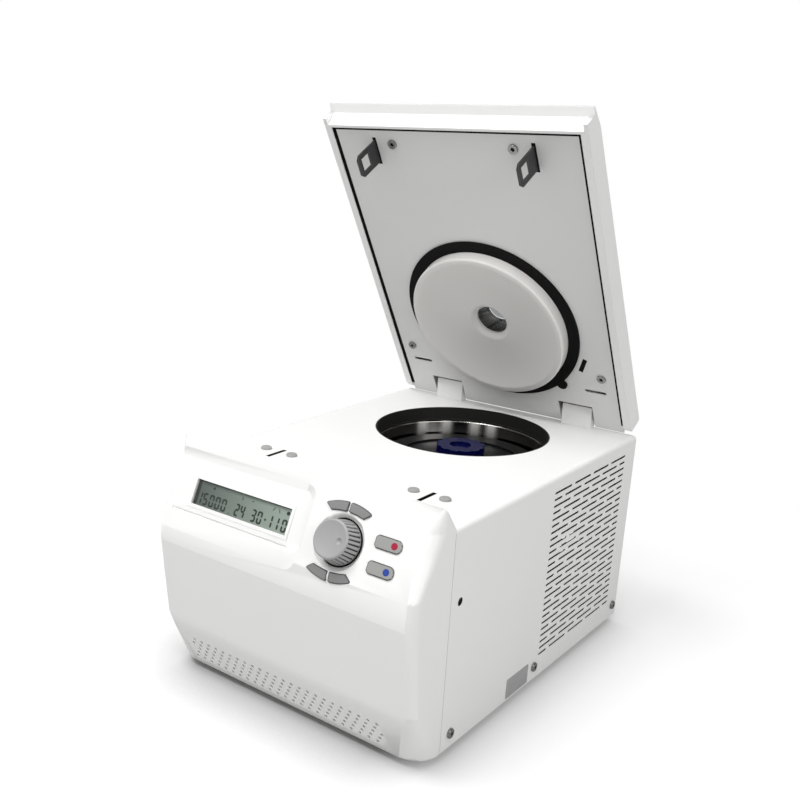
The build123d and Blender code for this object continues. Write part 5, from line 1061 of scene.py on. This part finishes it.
def on_display(item, x, up, out, turn=0.0):
    corner = glass_centre - (X_AXIS * glass_w + tray_up * GLASS_H + tray_out * GLASS_T) / 2 * MM
    place = corner + (X_AXIS * x + tray_up * up + tray_out * out) * MM
    item.matrix_world = Matrix.Translation(place) @ tray_turn @ Matrix.Rotation(turn, 4, "Z")
    settle(item)


panel = slab("display_panel", glass_w, GLASS_H, PANEL_T)
on_display(panel, glass_w / 2, GLASS_H / 2, PANEL_T / 2)
lcd_green, tree, shader = new_material("lcd_green")
split = add_node(tree, "SeparateXYZ", {0: object_place(tree)})
across = add_node(tree, "MapRange", {
    "Value": split.outputs["X"],
    "From Min": glass_low.x,
    "From Max": glass_high.x,
})
tint = add_node(tree, "Mix", {
    "Factor": across.outputs[0],
    "A": LCD_SHADED,
    "B": LCD_LIT,
}, data_type="RGBA")
feed(tree, shader, {"Base Color": tint.outputs["Result"], "Roughness": 0.5})
panel.data.materials.append(lcd_green)
print("panel", round(glass_w, 1), "by", GLASS_H, "mm")

# %% [markdown]
# One function makes a bar: a flat strip with its corners cut, made thin and solid. A figure is given
# by its left edge and its width, and a mark by its place, length, width and turn, in millimetres
# from the panel's lower left corner.

# %% Display figures and painted window shadow
FIGURE_LOW = 1.6
FIGURE_H = 12.4
BAR_T = 0.15
BAR_W = 1.9
CORNER_CUT = 0.45
UPRIGHT_CUT = 0.5
LEVEL_CUT = 0.9
SEGMENTS = {"0": "abcdef", "1": "bc", "2": "abged", "3": "abgcd", "4": "fgbc", "5": "afgcd", "-": "g"}
FIGURES = [
    ("1", 5.0, 4.6), ("5", 11.0, 6.4), ("0", 19.4, 6.4), ("0", 27.6, 6.4), ("0", 36.0, 6.4),
    ("2", 54.0, 5.8), ("4", 61.0, 5.8),
    ("3", 75.2, 6.0), ("0", 83.0, 6.0), ("-", 91.0, 4.4),
    ("1", 97.0, 5.0), ("1", 105.0, 5.0), ("0", 113.4, 6.2),
]
MARKS = [
    (47.5, 2.0, 2.6, 0.7, 0),
    (22, 20.4, 4.0, 0.7, 0),
    (22, 20.4, 4.0, 0.7, 90),
    (60, 20.0, 3.4, 1.0, 100),
    (73, 20.4, 2.4, 0.8, 0),
    (100, 20.0, 4.2, 0.8, 62),
    (107, 19.6, 4.2, 0.8, 112),
]
SPOT_X = 117.5
SPOT_UP = 20.2
SPOT_R = 1.9
SHADOW_STRIP_W = 4.2
SHADOW_STRIP_H = 0.7
bars = []


def bar(x, up, length, width, turn):
    deselect()
    bpy.ops.mesh.primitive_plane_add(size=MM)
    strip = newest("display_bar")
    strip.scale = (length, width, 1)
    settle(strip)
    edit_all(strip)
    bpy.ops.mesh.bevel(offset=width * CORNER_CUT * MM, segments=1, affect="VERTICES")
    bpy.ops.mesh.select_all(action="SELECT")
    bpy.ops.mesh.extrude_region_move(TRANSFORM_OT_translate={"value": (0, 0, BAR_T * MM)})
    object_mode()
    on_display(strip, x, up, PANEL_T, radians(turn))
    face_out(strip)
    bars.append(strip)


for figure, left, width in FIGURES:
    middle = left + width / 2
    left_bars = left + BAR_W / 2
    right_bars = left + width - BAR_W / 2
    half = FIGURE_H / 2
    tall = half - BAR_W * UPRIGHT_CUT
    wide = width - BAR_W * LEVEL_CUT
    spots = {
        "a": (middle, FIGURE_LOW + FIGURE_H - BAR_W / 2, wide, 0),
        "g": (middle, FIGURE_LOW + half, wide, 0),
        "d": (middle, FIGURE_LOW + BAR_W / 2, wide, 0),
        "b": (right_bars, FIGURE_LOW + half * 1.5, tall, 90),
        "c": (right_bars, FIGURE_LOW + half * 0.5, tall, 90),
        "f": (left_bars, FIGURE_LOW + half * 1.5, tall, 90),
        "e": (left_bars, FIGURE_LOW + half * 0.5, tall, 90),
    }
    for segment in SEGMENTS[figure]:
        x, up, length, turn = spots[segment]
        bar(x, up, length, BAR_W, turn)
for x, up, length, width, turn in MARKS:
    bar(x, up, length, width, turn)
deselect()
bpy.ops.mesh.primitive_cylinder_add(vertices=32, radius=SPOT_R * MM, depth=BAR_T * MM)
spot = newest("display_spot")
on_display(spot, SPOT_X, SPOT_UP, PANEL_T + BAR_T / 2)
bars.append(spot)
figures = join_as("display_figures", bars)
lcd_dark = finish("lcd_dark", (0.006, 0.011, 0.008), 0.5, tone=0.1, specular=0.1)
figures.data.materials.clear()
figures.data.materials.append(lcd_dark)

# Black strips on the left and upper edge: a painted shadow of the window's edges.
window_shadow_strips = []
for x, up, length, height in ((SHADOW_STRIP_W / 2, GLASS_H / 2, SHADOW_STRIP_W, GLASS_H),
                              (glass_w / 2, GLASS_H - SHADOW_STRIP_H / 2, glass_w, SHADOW_STRIP_H)):
    strip = slab("display_window_shadow", length, height, BAR_T)
    on_display(strip, x, up, PANEL_T + BAR_T)
    window_shadow_strips.append(strip)
window_shadow = join_as("display_window_shadow", window_shadow_strips)
window_shadow.data.materials.append(black_rubber)
for piece in (panel, figures, window_shadow):
    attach(piece, BODY_OF["display_glass"])
print("display bars:", len(bars))
